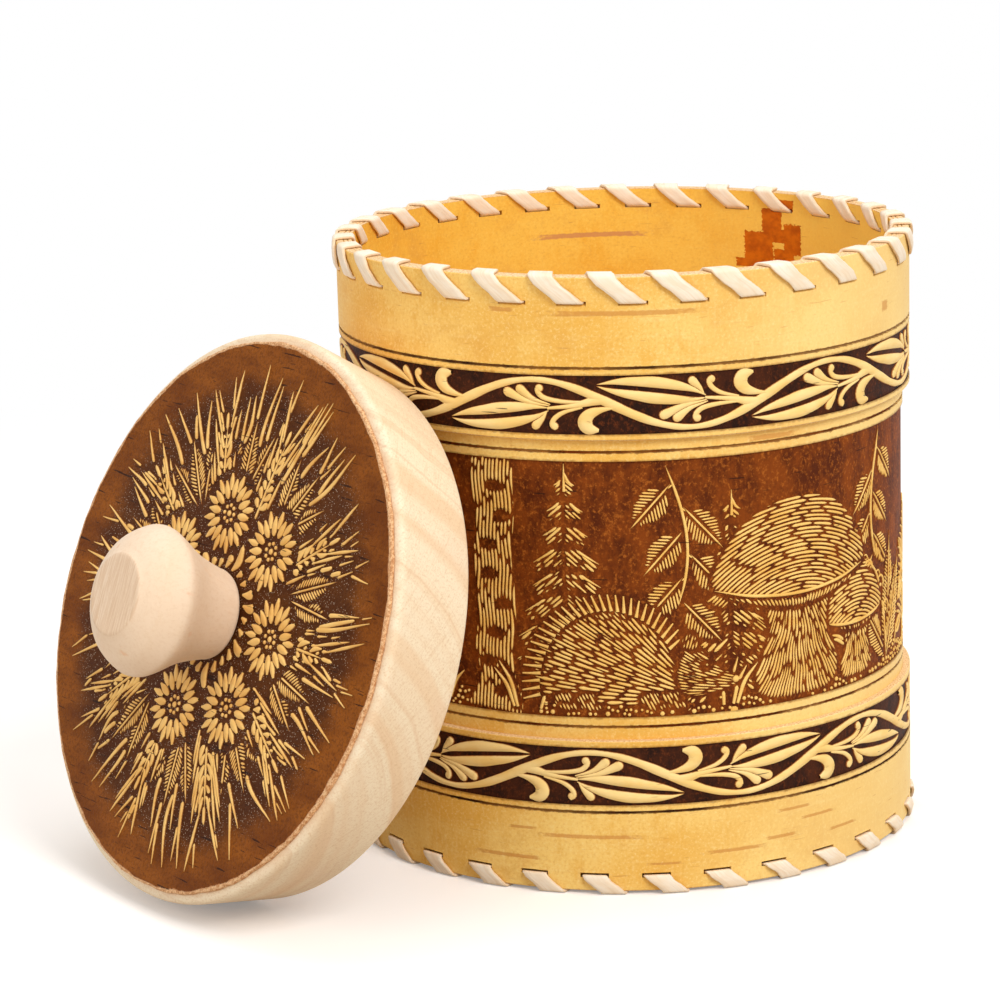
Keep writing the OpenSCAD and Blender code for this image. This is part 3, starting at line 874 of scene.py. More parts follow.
def vine_unit(pen):
    """A branch with its leaf, its two fans of petals and the crescent under a crest of the stem."""
    pen.line([(15.4, 0.6), (12.2, 0.9), (8.0, -0.1), (2.6, -0.8)], [0.5, 1.0, 0.62, 0.35])
    pen.leaf((2.8, -1.0), (-18.6, -4.1), 6.1, sag=0.4, vein=0.95, wide=0.45)
    petals = [
        ([(3.0, -0.3), (-1.6, 0.6), (-5.5, 2.3)], [0.15, 0.6, 1.1]),
        ([(3.2, 0.0), (-0.4, 1.2), (-2.9, 3.0)], [0.15, 0.55, 1.05]),
        ([(10.6, 0.6), (5.6, 0.7), (2.2, 1.3), (0.8, 2.4), (0.7, 3.4)], [0.25, 0.5, 0.6, 0.65, 0.7]),
        ([(2.5, -1.35), (1.6, -2.9), (0.2, -4.4)], [0.15, 0.55, 1.0]),
        ([(9.6, -0.5), (6.0, -1.5), (4.0, -2.9), (3.5, -4.3), (4.3, -5.0)], [0.25, 0.5, 0.6, 0.65, 0.5]),
        ([(15.6, -0.6), (13.2, -1.0), (11.0, -1.9), (10.0, -3.5), (10.8, -4.9), (12.7, -5.3)],
         [0.3, 0.7, 1.25, 1.6, 1.4, 0.4])]
    for points, widths in petals:
        pen.line(points, widths, step=0.35)
    for x, y, r in ((-5.6, 2.35, 1.1), (-3.0, 3.05, 1.05), (1.0, 3.35, 0.95), (0.1, -4.5, 1.0),
                    (4.0, -4.5, 0.9)):
        pen.dot(x, y, r)


def vine(middle, crest, mirror, seed):
    """One whole vine round a band: a wave whose half periods each have their branch."""
    length = HALF_PERIODS * HALF_PERIOD
    art = Art(-40, length + 40, -7.5, 7.5, seed)
    x = np.arange(0, length + 0.2, 0.6)
    swing = STEM_SWING * np.cos(x * math.pi / HALF_PERIOD)
    width = 0.86 - 0.2 * np.cos(x * 2 * math.pi / HALF_PERIOD) + 0.04 * np.sin(x * 0.9)
    art.relief(0).ribbon(np.column_stack([x, swing]), width)
    for k in range(HALF_PERIODS):
        pen = Pen(art, x=k * HALF_PERIOD)
        pen.matrix = np.diag([VINE_STRETCH, -1 if k % 2 else 1])
        vine_unit(pen)
    turn = 360 / length * (-1 if mirror else 1)

    def place(points):
        return round_the_box(BAND_R, np.radians(crest + points[:, 0] * turn), points,
                             middle + points[:, 1])
    return art.reliefs[0], place


# ---------------------------------------------------------------- motifs of the woodland frieze

def cap_field(x, y):
    return (y - 2.0, -x)


def cep(pen):
    """A stout mushroom, 30 high: domed cap hatched round its dome, stalk hatched upwards."""
    cap = [(-15, 17.5), (-14.2, 22), (-9, 28.2), (0, 30.8), (9, 28.2), (14.2, 22), (15, 17.5),
           (8, 15.8), (0, 15.2), (-8, 15.8)]
    gills = [(-12.6, 16.3), (-6, 13.9), (0, 13.2), (6, 13.9), (12.6, 16.3), (0, 15.6)]
    stalk = [(-5.2, 15), (-5.8, 9), (-8.2, 3), (-6.6, -0.6), (0, -1.2), (6.6, -0.6), (8.2, 3),
             (5.8, 9), (5.2, 15)]
    pen.line([(-14.8, 17.4), (-8, 15.9), (0, 15.3), (8, 15.9), (14.8, 17.4)], 0.42)
    pen.hatch(cap, cap_field, length=12)
    pen.hide(cap)
    pen.hatch(gills, lambda x, y: (x * 0.12, 1), gap=0.72, length=3.4)
    pen.hide(gills)
    pen.hatch(stalk, lambda x, y: (-x * 0.09 + 0.12 * math.sin(y), 1), length=10)
    pen.hide(stalk)


def hedgehog(pen):
    """A hedgehog that looks to the right, 30 long."""
    body = [(9.5, 7.5), (5, 14), (-3, 17.8), (-12, 16.2), (-17.4, 9.5), (-17.6, 3), (-13, 0.2),
            (-3, -0.3), (5, 0), (9, 2.6)]
    face = [(9.0, 9.6), (11.6, 8.6), (14.2, 5.8), (17.6, 3.7), (18.0, 2.2), (15.4, 1.4), (11.4, 0.7),
            (8.2, 1.4), (7.2, 5)]
    eye = [(11.9, 6.3), (12.5, 6.6), (13.1, 6.3), (13.1, 5.6), (12.5, 5.3), (11.9, 5.6)]
    ear = [(8.2, 9.6), (8.6, 11.5), (10.2, 11.9), (11.2, 10.3), (10.6, 8.8)]
    pen.dot(17.9, 3.0, 0.85)
    pen.dot(12.6, 6.1, 0.24)
    pen.hide(eye)
    pen.hatch(ear, lambda x, y: (0.3, 1), gap=0.62, length=2.6)
    pen.hide(ear)
    pen.hatch(face, lambda x, y: (1, -0.32 - 0.1 * (y - 4)), gap=0.64, length=3.6)
    pen.hide(face)
    for x in (-12.6, -8.6, 2.6, 6.2):
        paw = [(x - 1.5, 1.4), (x - 1.2, -0.8), (x + 0.6, -1.6), (x + 2.6, -1.4), (x + 2.8, -0.6),
               (x + 1.4, 0.2), (x + 1.4, 1.6)]
        pen.hatch(paw, lambda x, y: (0.5, -1), gap=0.7, length=3)
        pen.hide(paw)
    for k in range(34):
        a = math.radians(14 + k * 5.2)
        x, y = -4.6 + 12.2 * math.cos(a), 2.5 + 14.0 * math.sin(a)
        lean = a + 0.25
        tip = (x + 3.4 * math.cos(lean), y + 3.0 * math.sin(lean))
        pen.line([(x, y), tip], [0.46, 0.2], halo=0.2)
    pen.hatch(body, lambda x, y: (x - 13, (y - 1) * 1.15 + 1), gap=0.82, length=6)
    pen.hide(body)


def spruce(pen, height=44.0):
    """A narrow spruce: drooping tiers of needles, each over the next lower one."""
    pen.line([(0, height - 3), (0, height + 2.4)], [0.4, 0.12])
    tiers = int(height / 4.6)
    for k in range(tiers):
        y = height - 1.0 - k * 4.5
        reach = (1.6 + (height - y) * 0.27) * pen.art.random.uniform(0.9, 1.08)
        for side in (1, -1):
            fringe = [(side * reach * t, y - 0.5 * reach * t ** 1.3 - (2.6 - 1.4 * t) - (k2 % 2) * 1.1)
                      for k2, t in enumerate(np.linspace(1, 0.0, 9))]
            bough = [(0, y + 2.0), (side * reach * 0.45, y - 0.05 * reach),
                     (side * reach * 1.04, y - 0.5 * reach)] + fringe[1:]
            pen.hatch(bough, lambda x, y, d=side: (d * 0.75, -0.65), gap=0.75, length=4.5)
            ridge = [(0, y + 1.6), (side * reach * 0.5, y - 0.1 * reach),
                     (side * reach * 1.08, y - 0.46 * reach)]
            pen.line(ridge, [0.3, 0.36, 0.12])
            pen.hide([(px * 1.02, py - 0.5) for px, py in bough])
    pen.line([(0, -1), (0, height)], [0.9, 0.4])


def fern(pen, length=26.0, lean=6.0):
    """A frond: an arching stem with two rows of leaflets that shorten towards its tip."""
    t = np.linspace(0, 1, 9)
    spine = np.column_stack([lean * t ** 2, length * t - 0.12 * length * t ** 3])
    pen.line(spine, [0.42] * 5 + [0.34] * 4)
    path = smooth_path(np.column_stack([spine, t]), 0.3)
    left = sides(path)
    for k, place in enumerate(np.linspace(0.12, 0.98, int(length / 1.4))):
        i = int(place * (len(path) - 1))
        size = 0.27 * length * math.sin(math.pi * (0.2 + 0.8 * place) ** 0.8) ** 0.9 + 0.6
        ahead = np.array([left[i, 1], -left[i, 0]])
        for side in (1, -1):
            out = left[i] * side * size
            base = path[i, :2] + ahead * (0.3 if side > 0 else 0)
            pen.line([base, base + out * 0.55 + ahead * 0.28 * size, base + out + ahead * 0.34 * size],
                     [0.3, 0.46, 0.14], halo=0.1)


def veined_leaf(pen, base, tip, width):
    """An engraved leaf: midrib, thin outline, and hatching that follows its side veins."""
    base, tip = np.array(base, float), np.array(tip, float)
    along = tip - base
    size = np.linalg.norm(along)
    ahead = along / size
    left = np.array([-ahead[1], ahead[0]])
    t = np.array([0.0, 0.18, 0.42, 0.68, 0.88, 1.0])
    bulge = np.array([0.02, 0.36, 0.5, 0.36, 0.14, 0.0]) * width
    upper = base + np.outer(t, along) + np.outer(bulge, left)
    lower = base + np.outer(t, along) - np.outer(bulge, left)
    whole = np.vstack([upper, lower[-2:0:-1]])
    pen.line([base - ahead * 1.2, base + along * 0.5, tip], 0.26)
    for edge, side in ((upper, 1), (lower, -1)):
        half = np.vstack([edge, (base + np.outer(t, along) + left * side * 0.42)[::-1]])
        slant = ahead * 0.75 + left * side
        pen.hatch(half, lambda x, y, d=slant: (d[0], d[1]), gap=0.68, length=5)
    pen.hide(whole)


def twig(pen, leaves=6, length=24.0):
    """A hanging birch twig with veined leaves."""
    t = np.linspace(0, 1, 7)
    stem = np.column_stack([3.5 * np.sin(t * 2.6), -length * t])
    pen.line(stem, 0.38)
    for k in range(leaves):
        place = (k + 0.8) / leaves
        x, y = np.interp(place, t, stem[:, 0]), np.interp(place, t, stem[:, 1])
        side = 1 if k % 2 else -1
        veined_leaf(pen, (x + side * 1.2, y - 0.8), (x + side * 7.2, y - 7.4), 5.8)
        pen.line([(x, y), (x + side * 1.4, y - 1.2)], 0.24)


def grass(pen, blades=9, height=11.0):
    """A tuft of blades that bend away from its middle."""
    rnd = pen.art.random
    for k in range(blades):
        lean = (k - (blades - 1) / 2) / blades * 1.7 + rnd.uniform(-0.12, 0.12)
        size = height * rnd.uniform(0.65, 1.05) * (1 - 0.3 * abs(lean))
        foot = lean * 3.6
        pen.line([(foot, -0.5), (foot + lean * size * 0.3, size * 0.55), (foot + lean * size * 0.8, size)],
                 [0.4, 0.5, 0.12], halo=0.18)


def broad_plant(pen):
    """Broad leaves with arching hatching, and a stem of hanging bells."""
    stem = np.array([(0, 0), (1.5, 9), (4.5, 16), (9.5, 20)])
    path = smooth_path(stem, 0.5)
    for k, place in enumerate((0.5, 0.62, 0.74, 0.86, 0.98)):
        x, y = path[int(place * (len(path) - 1))]
        side = 1 if k % 2 else -1
        pen.line([(x, y), (x + side * 1.1, y + 0.2), (x + side * 1.8, y - 0.9)], 0.22)
        cx, cy = x + side * 1.8, y - 1.6
        pen.line([(cx - 1.3, cy - 1.9), (cx - 1.1, cy), (cx, cy + 0.7), (cx + 1.1, cy),
                  (cx + 1.3, cy - 1.9)], 0.34)
        pen.dot(cx, cy - 1.0, 0.5)
    pen.line(stem, 0.34)
    for tip, width in (((-8, 17), 6.4), ((-2, 22), 6.0), ((10, 12), 6.0)):
        veined_leaf(pen, (0, 0), tip, width)


def berries(pen):
    """A low sprig: oval leaves in pairs along an arching stem and a bunch of berries at its end."""
    stem = np.array([(0, 0), (2, 7), (6, 13), (12, 16.5)])
    path = smooth_path(stem, 0.5)
    for x, y in ((12.6, 13.6), (14.9, 14.9), (14.4, 11.7), (12.3, 11.2), (16.5, 12.8), (15.7, 9.6)):
        ring = [(x + 1.15 * math.cos(a), y + 1.15 * math.sin(a)) for a in np.arange(6) * 1.0472]
        pen.dot(x - 0.3, y + 0.3, 0.46)
        pen.outline(ring, 0.26)
        pen.hide(ring)
    for k, place in enumerate((0.16, 0.3, 0.44, 0.58, 0.72, 0.86)):
        i = int(place * (len(path) - 1))
        x, y = path[i]
        side = 1 if k % 2 else -1
        pen.leaf((x, y), (x - side * 5.2, y + 3.4 + side * 1.4), 2.9, vein=0.4)
    pen.line(stem, 0.32)


def birch_trunk(pen, width=9.0, height=54.0):
    """A birch trunk as high as the frieze: wavy sides, hatched upwards, with dark scars."""
    left = [(-width / 2 + 0.5 * math.sin(y * 0.35) - (3.0 if y < 1 else 0), y)
            for y in np.linspace(0, height, 9)]
    right = [(width / 2 + 0.5 * math.sin(y * 0.3 + 1) + (3.0 if y < 1 else 0), y)
             for y in np.linspace(0, height, 9)]
    shape = np.array(left + right[::-1])
    trunk = pen.to(smooth_path(np.vstack([shape, shape[:1]]), 0.8))
    area = pen.art.area(trunk)
    for y in np.arange(4, height, 6.3):
        x = 2.2 * math.sin(y * 1.7)
        pen.hide([(x - 1.7, y), (x, y + 0.6), (x + 1.7, y), (x, y - 0.5)])

    def upwards(x, y):
        return (0.1 * math.sin(y * 0.5), 1)
    pen.art.hatch(area, upwards, 0.84, 11)
    pen.art.hide(area)


def owl(pen):
    """A small owl, 22 high, sitting upright: face rings, scalloped breast and hatched wings."""
    body = [(-7, 8), (-7.2, 14), (-6.2, 19), (-5.8, 22.6), (-3, 21.4), (0, 20.8), (3, 21.4),
            (5.8, 22.6), (6.2, 19), (7.2, 14), (7, 8), (4.2, 1.6), (0, 0), (-4.2, 1.6)]
    for side in (1, -1):
        cx, cy = side * 2.8, 16.9
        pen.dot(cx, cy, 0.75)
        for x, y in polar(1.25, (k * math.pi / 7 for k in range(14))):
            pen.line([(cx + x, cy + y), (cx + 2 * x, cy + 2 * y)], 0.26, halo=0.12)
    pen.line([(0, 16.6), (0.1, 15.6), (0, 14.2)], [0.3, 0.6, 0.15], halo=0.15)
    for row in range(6):
        y = 12.2 - row * 1.7
        count = (5, 4, 5, 4, 3, 2)[row]
        for k in range(count):
            x = (k - (count - 1) / 2) * 1.7
            pen.line([(x - 0.75, y + 0.5), (x, y - 0.7), (x + 0.75, y + 0.5)], 0.42, halo=0.12)
    for side in (1, -1):
        wing = [(side * 4.4, 13.6), (side * 6.8, 12), (side * 6.6, 6.5), (side * 3.6, 1.4),
                (side * 4.2, 7)]
        pen.hatch(wing, lambda x, y, s=side: (s * 0.25, 1), gap=0.75, length=6)
    pen.outline(body, 0.34)
    pen.hatch(body, lambda x, y: (0.3 * x, 6 + abs(x)), gap=0.7, length=3)
    pen.hide(body)
    pen.line([(-11, -1.5), (-3, -0.9), (4, -1.4), (12, -0.2)], [0.3, 0.8, 0.7, 0.25],
             halo=0.2)
    for x in (-8, 7):
        veined_leaf(pen, (x, -1.6), (x * 1.5, -6.5), 4)


def pebbles(art, x0, x1):
    """Moss and pebbles along the foot of the frieze, in low mounds."""
    rnd, placed = art.random, []
    for step in range(int((x1 - x0) * 26)):
        x = x0 + step / 26 + rnd.uniform(-1.5, 1.5)
        mound = 2.2 + 2.2 * math.sin(x * 0.11) ** 2
        y, r = 0.5 + rnd.random() * mound, rnd.uniform(0.34, 0.66)
        if any((x - a) ** 2 + (y - b) ** 2 < (r + c + 0.08) ** 2 for a, b, c in placed[-90:]):
            continue
        placed.append((x, y, r))
        art.dot(x, y, r, flat=0.66, sides_of_dot=7)


# Where each motif of the frieze stands: motif, place along the frieze from the front, height,
# scale, and -1 where it is mirrored. What stands in front comes first.
FRIEZE_PLAN = [
    (hedgehog, 1, 3.2, 1.2, 1), (cep, 38, 2.6, 1.35, 1), (cep, 56, 2.4, 0.72, -1),
    (broad_plant, 70, 2.2, 1.25, -1), (berries, 76, 2.2, 1.2, 1), (grass, 20, 2, 1.0, 1),
    (grass, 62, 2, 0.9, -1), (grass, -22, 2, 1.1, 1), (birch_trunk, -29, 0.5, 1.0, 1),
    (cep, 112, 2.6, 1.0, -1), (hedgehog, 142, 3.2, 1.1, -1), (owl, 171, 21, 1.2, 1),
    (broad_plant, 183, 2.2, 1.1, 1), (berries, 120, 2.2, 1.1, -1), (cep, -60, 2.6, 1.2, 1),
    (hedgehog, -98, 3.2, 1.15, -1), (cep, -134, 2.6, 1.1, -1), (cep, -149, 2.2, 0.8, 1),
    (broad_plant, -74, 2.2, 1.2, 1), (owl, -168, 20, 1.15, -1), (berries, -118, 2.2, 1.1, 1),
    (grass, 100, 2, 1.1, 1), (grass, 158, 2, 1.0, -1), (grass, -44, 2, 1.0, -1), (grass, -126, 2, 1.0, 1),
    (grass, -158, 2, 1.1, -1), (twig, 8, 53.5, 1.25, 1), (twig, 66, 53.5, 1.15, -1),
    (twig, -44, 53.5, 0.9, -1), (twig, 128, 53.5, 1.0, -1), (twig, -48, 53.5, 1.05, 1),
    (twig, -112, 53.5, 1.0, -1), (twig, -180, 53.5, 0.8, 1), (fern, 86, 2, 1.35, 1),
    (fern, 94, 2, 1.1, -1), (fern, 52, 2, 0.8, 1), (fern, -84, 2, 1.2, -1), (fern, 155, 2, 1.2, 1),
    (fern, -142, 2, 1.3, -1), (birch_trunk, 104, 0.5, 1.0, 1), (birch_trunk, -88, 0.5, 1.0, -1),
    (spruce, 22, 1, 1.0, 1), (spruce, 148, 1, 1.1, 1), (spruce, -70, 1, 1.05, -1),
    (spruce, -13, 4, 1.08, 1), (spruce, 128, 1, 0.9, 1), (spruce, -124, 1, 1.1, 1),
    (spruce, -152, 1, 1.0, -1), (spruce, 186, 1, 0.8, -1)]


def frieze_art():
    """The woodland frieze, drawn flat: x runs to the right from the front of the box."""
    edge = math.pi * (FRIEZE_R - EMBOSS_DEPTH)
    art = Art(-edge, edge, 0, FRIEZE[1] - FRIEZE[0], seed=5, parts=3)
    for motif, x, y, scale, side in FRIEZE_PLAN:
        motif(Pen(art, x, y, scale, side=side))
    pebbles(art, -edge + 1, edge - 1)
    return art.reliefs


def frieze_place(points):
    angle = points[:, 0] / (FRIEZE_R - EMBOSS_DEPTH) - math.pi / 2
    return round_the_box(FRIEZE_R, angle, points, FRIEZE[0] + points[:, 1])


# ---------------------------------------------------------------- the wreath on the lid

def rye_ear(pen):
    """An ear of rye that points up, its base at the origin, with long awns."""
    rnd = pen.art.random
    for k in range(9):
        y = 0.6 + k * 2.25
        size = 1 - 0.05 * k
        for side in (1, -1):
            tip = (side * 2.9 * size, y + 3.6)
            pen.line([(side * 0.5, y), (side * 2.1 * size, y + 1.3), tip], [0.3, 0.95 * size, 0.2])
            far = (tip[0] + side * (1.2 + 0.3 * k) + rnd.uniform(-0.8, 0.8),
                   y + 12 + rnd.uniform(-1.5, 3))
            middle = ((tip[0] + far[0]) / 2, (tip[1] + far[1]) / 2)
            pen.line([tip, middle, far], [0.25, 0.44, 0.12], halo=0.18)
    pen.line([(0, -6), (0.2, 0), (0, 21)], 0.36)
    pen.line([(0, 20.5), (0, 24.4)], 0.5)
    head = [(-3.2, 0), (-3.4, 12), (-1.6, 23), (0, 25), (1.6, 23), (3.4, 12), (3.2, 0), (0, -1)]
    pen.hide(head)


def daisy(pen):
    """A flower seen from the front: a beaded disc and two rings of petals."""
    eighths = [k * math.pi / 4 for k in range(8)]
    for x, y in polar(1.55, eighths):
        pen.dot(x, y, 0.5)
    pen.dot(0, 0, 0.75)
    pen.hide(polar(2.3, eighths))
    for ring, inner, outer in ((0, 2.5, 6.6), (0.5, 4.4, 7.7)):
        for k in range(12):
            a = (k + ring) * math.pi / 6
            d = np.array([math.cos(a), math.sin(a)])
            pen.line([d * inner, d * (inner + outer) / 2, d * outer], [0.35, 0.95 - 0.3 * ring, 0.3])
    pen.hide(polar(8.1, np.arange(12) * math.pi / 6))


def lid_art():
    """A wreath round the knob: ears of rye with long awns, daisies, leaves and blades between."""
    art = Art(-60, 60, -60, 60, seed=9)
    rnd = art.random
    for k in range(7):
        a = math.radians(k * 360 / 7 + 100)
        daisy(Pen(art, 21.5 * math.cos(a), 21.5 * math.sin(a), 1.12, k * 51.43))
    for k in range(26):
        pen = Pen(art, turn=k * 360 / 26)
        pen.line([(0, 10.2), (1.1, 13.0), (0, 17.4)], [0.35, 1.1, 0.2])
    for k in range(10):
        turn = (k + 0.5) * 36 + rnd.uniform(-4, 4)
        a = math.radians(turn + 90)
        rye_ear(Pen(art, 20 * math.cos(a), 20 * math.sin(a), rnd.uniform(0.92, 1.05), turn))
    for k in range(10):
        turn = k * 36 + rnd.uniform(-3, 3)
        a = math.radians(turn + 90)
        pen = Pen(art, 27 * math.cos(a), 27 * math.sin(a), 1.0, turn)
        for lean in (0, -1, 1):
            veined_leaf(pen, (lean * 1.8, 0), (lean * 7.5, 14.5 - 2.5 * abs(lean)), 5.6)
    for k in range(120):
        low, high = rnd.uniform(20, 33), rnd.uniform(45, 54)
        pen = Pen(art, turn=k * 3 + rnd.uniform(-5, 5))
        pen.line([(rnd.uniform(-4, 4), low), (rnd.uniform(-1.5, 1.5), (low + high) / 2),
                  (rnd.uniform(-3, 3), high)], [0.3, 0.56, 0.14], halo=0.2)
    return art.reliefs[0]


def lid_place(points):
    z = LID_BARK_T / 2 + np.where(points[:, 2] < 0, points[:, 2], points[:, 2] * 0.35)
    return on_lid(np.column_stack([points[:, 0], points[:, 1], z]))


# ---------------------------------------------------------------- lacing

def strip_stations(drop, lean):
    """Stations of one stitch, [radius, height, normal, share of the pitch], as in the part."""
    out = BAND_R + STRIP_GAP + STRIP_T / 2
    inn = MOUTH_R - STRIP_GAP - STRIP_T / 2
    top = STRIP_GAP + STRIP_T / 2
    soft = STRIP_T / 2
    in_drop = drop - SLIT_SLANT
    inside = lean + 0.07
    return [((BAND_R + MOUTH_R) / 2, SLIT_SLANT / 2 - drop, 0, 1, 0),
            (out, -drop, -1, 1, 0),
            (out + STRIP_BOW, -0.66 * drop, -1, 0, 0.28 * lean),
            (out + STRIP_BOW, -0.3 * drop, -1, 0, 0.7 * lean),
            (out, top - soft, -1, 0, lean - 0.01),
            (out - soft, top, 0, -1, lean),
            (inn + soft, top, 0, -1, inside),
            (inn, top - soft, 1, 0, inside + 0.01),
            (inn - STRIP_BOW / 2, -0.5 * in_drop, 1, 0, (inside + 1) / 2),
            (inn, STRIP_GAP - in_drop, 1, 1, 1)]


STEPS_BETWEEN_STATIONS = (3, 5, 6, 5, 2, 5, 2, 5, 5, 3)


def lacing(name, rim, seed):
    """The whole wound strip at one rim: over is 1 at the upper rim and -1 at the lower one."""
    rnd = random.Random(seed)
    stations, steps = [], []
    for k in range(rim["count"]):
        tone = rnd.random()
        slip, slant = rnd.uniform(-0.3, 0.3), rnd.uniform(-0.3, 0.3)
        wide = rnd.random()
        for (r, z, nr, nz, share), count in zip(strip_stations(rim["drop"], rim["lean"]),
                                                STEPS_BETWEEN_STATIONS):
            loose = math.sin(math.pi * min(share / rim["lean"], 1))
            sink = rnd.uniform(0, 0.05) * (z < 0)
            stations.append([r - sink, z, nr, nz, k + share, slip * loose, 1 - 0.06 * wide,
                             tone * 8 + k * 3, slant * loose])
            steps.append(count)
    stations[-1][1] *= 0.8
    stations[-1][4] = rim["count"] - 0.08
    rows = [np.array(stations[i]) + (np.array(stations[i + 1]) - stations[i]) * t
            for i in range(len(stations) - 1) for t in np.arange(steps[i]) / steps[i]]
    path = np.array(rows + [stations[-1]])
    for _ in range(2):
        path[1:-1, :6] = 0.25 * path[:-2, :6] + 0.5 * path[1:-1, :6] + 0.25 * path[2:, :6]
    normals = path[:, 2:4] / np.maximum(np.linalg.norm(path[:, 2:4], axis=1), 1e-6)[:, None]
    theta = np.radians(rim["turn"]) - path[:, 4] * 2 * math.pi / rim["count"]
    half_t, corner = STRIP_T / 2, 0.17
    across = [(-1, 0), (-0.985, corner), (-0.94, half_t), (-0.5, half_t), (0, half_t), (0.5, half_t),
              (0.94, half_t), (0.985, corner), (1, 0), (0.985, -corner), (0.94, -half_t),
              (0.5, -half_t), (0, -half_t), (-0.5, -half_t), (-0.94, -half_t), (-0.985, -corner)]
    along = np.concatenate([[0], np.cumsum(np.hypot(
        np.hypot(np.diff(path[:, 0]), np.diff(theta) * BAND_R), np.diff(path[:, 1])))])
    points, strip = [], []
    for u, t in across:
        r = np.minimum(path[:, 0] - normals[:, 0] * t, BAND_R + STRIP_GAP + STRIP_T + STRIP_BOW)
        wander = 0.05 * np.sin(along * 2.1 + u * 3) + 0.04 * np.sin(along * 5.3)
        side = u * (STRIP_W / 2 * path[:, 6] - 0.05 + wander * abs(u))
        angle = theta + (side + path[:, 5]) / BAND_R
        z = np.minimum(path[:, 1] - normals[:, 1] * t + path[:, 8] * u, STRIP_GAP + STRIP_T)
        points.append(np.column_stack([r * np.cos(angle), rim["over"] * r * np.sin(angle),
                                       rim["edge"] + rim["over"] * z]))
        strip.append(np.column_stack([along, np.full(len(r), u), path[:, 7]]))
    points, strip = np.stack(points, axis=1), np.stack(strip, axis=1)
    n, m = points.shape[:2]
    i, j = np.meshgrid(np.arange(n - 1), np.arange(m), indexing="ij")
    a, b = i * m + j, i * m + (j + 1) % m
    quads = np.stack([a, b, b + m, a + m], axis=-1).reshape(-1, 4)
    if rim["over"] < 0:
        quads = quads[:, ::-1]
    fan = np.arange(1, m - 1)
    caps = np.vstack([np.column_stack([0 * fan, fan + 1, fan]),
                      np.column_stack([0 * fan, fan, fan + 1]) + (n - 1) * m])
    return build_mesh(name, points.reshape(-1, 3), quads, caps, {"strip": strip.reshape(-1, 3)})


# ---------------------------------------------------------------- lid, knob

def lid_profile():
    """The lid's tapered outline with rounded edges, down to the screw's countersunk hole."""
    e, f = LID_UNDER_ROUND, LID_TOP_ROUND
    under_r = LID_R - LID_TAPER
    slope = LID_TAPER / LID_T
    outer = (bend((under_r - e, 0), (under_r, 0), (under_r + e * slope, e), 6)
             + np.linspace((under_r + e * slope, e), (LID_R - f * slope, LID_T - f), 12)[1:-1].tolist()
             + bend((LID_R - f * slope, LID_T - f), (LID_R, LID_T), (LID_R - f, LID_T), 8))
    flats = [(r, LID_T) for r in np.linspace(LID_R - f, LID_BORE_R, 16)[1:]]
    sink = [(LID_BORE_R, 2.0), (LID_SINK_R, 0.3), (LID_SINK_R, 0)]
    return outer + flats + sink + [(r, 0) for r in np.linspace(LID_SINK_R, under_r - e, 14)[1:-1]]


KNOB_PROFILE = [(8.3, 0), (8.9, 0.12), (9.4, 0.5), (9.7, 1.1), (9.8, 1.8), (10.1, 3.0), (10.45, 4.5),
                (10.9, 6.0), (11.5, 7.8), (12.4, 10.0), (13.45, 12.0), (14.6, 14.0), (15.4, 15.5),
                (15.9, 16.6), (16.0, 17.2), (15.95, 17.8), (15.65, 18.5), (15.2, 19.4), (14.5, 20.6),
                (13.5, 21.9), (12.3, 22.9), (10.9, 23.9), (9.6, 24.6), (9.0, 25.0), (8.5, 25.35),
                (8.0, KNOB_H)]

# Radius of the pinhole left at the knob's axis, where the turned outline ends
KNOB_CORE_R = 0.05


def knob_piece():
    profile = smooth_path(np.array(KNOB_PROFILE), 0.5)
    flat = [(r, KNOB_H) for r in np.linspace(KNOB_PROFILE[-1][0], KNOB_CORE_R, 8)[1:]]
    under = [(r, 0) for r in np.linspace(KNOB_CORE_R, KNOB_PROFILE[0][0], 5)[:-1]]
    points, quads = lathe(np.vstack([under, profile, flat]), 160)
    points[:, 2] += LID_BARK_T / 2 + WOOD_GAP
    return build_mesh("turned_knob", on_lid(points), quads, (), {"loc": points})


def lid_wood_piece():
    points, quads = lathe(lid_profile(), 256, closed=True)
    points[:, 2] -= LID_T + WOOD_GAP + LID_BARK_T / 2
    return build_mesh("lid_wood", on_lid(points), quads, (), {"loc": points})


def lid_bark_piece():
    """The bark disc with a slightly uneven cut edge and a face that isn't quite flat."""
    rim, half = LID_BARK_R, LID_BARK_T / 2
    rings = np.linspace(LID_BORE_R, rim - 0.25, 60)
    face = [(r, half) for r in rings] + [(rim - 0.08, half - 0.06), (rim, half - 0.25),
                                         (rim, -half + 0.1), (rim - 0.1, -half)]
    back = [(r, -half) for r in np.linspace(rim - 0.1, LID_BORE_R, 8)[1:]]
    points, quads = lathe((face + back)[::-1], 360, closed=True)
    angle = np.arctan2(points[:, 1], points[:, 0])
    far = np.hypot(points[:, 0], points[:, 1])
    uneven = (0.1 * np.sin(7 * angle + 1) + 0.09 * np.sin(19 * angle) + 0.07 * np.sin(41 * angle + 2)
              + 0.05 * np.sin(83 * angle + 4))
    shrink = 1 - np.where(far > rim - 1, (0.32 + uneven) / rim, 0)
    cut = points * np.column_stack([shrink, shrink, np.ones(len(points))])
    return build_mesh("embossed_disc", on_lid(cut), quads, (), {"loc": points})


# ---------------------------------------------------------------- studio

# Half the floor's side in millimetres, the glow of the floor near the box as the camera sees it,
# and the distances from the box in metres between which the floor turns plain white
FLOOR_HALF = 3000
NEAR_GLOW = 0.2
WHITE_FROM, WHITE_TO = 0.12, 0.5
# Share of full white with which the surround lights the box
SURROUND = 0.55

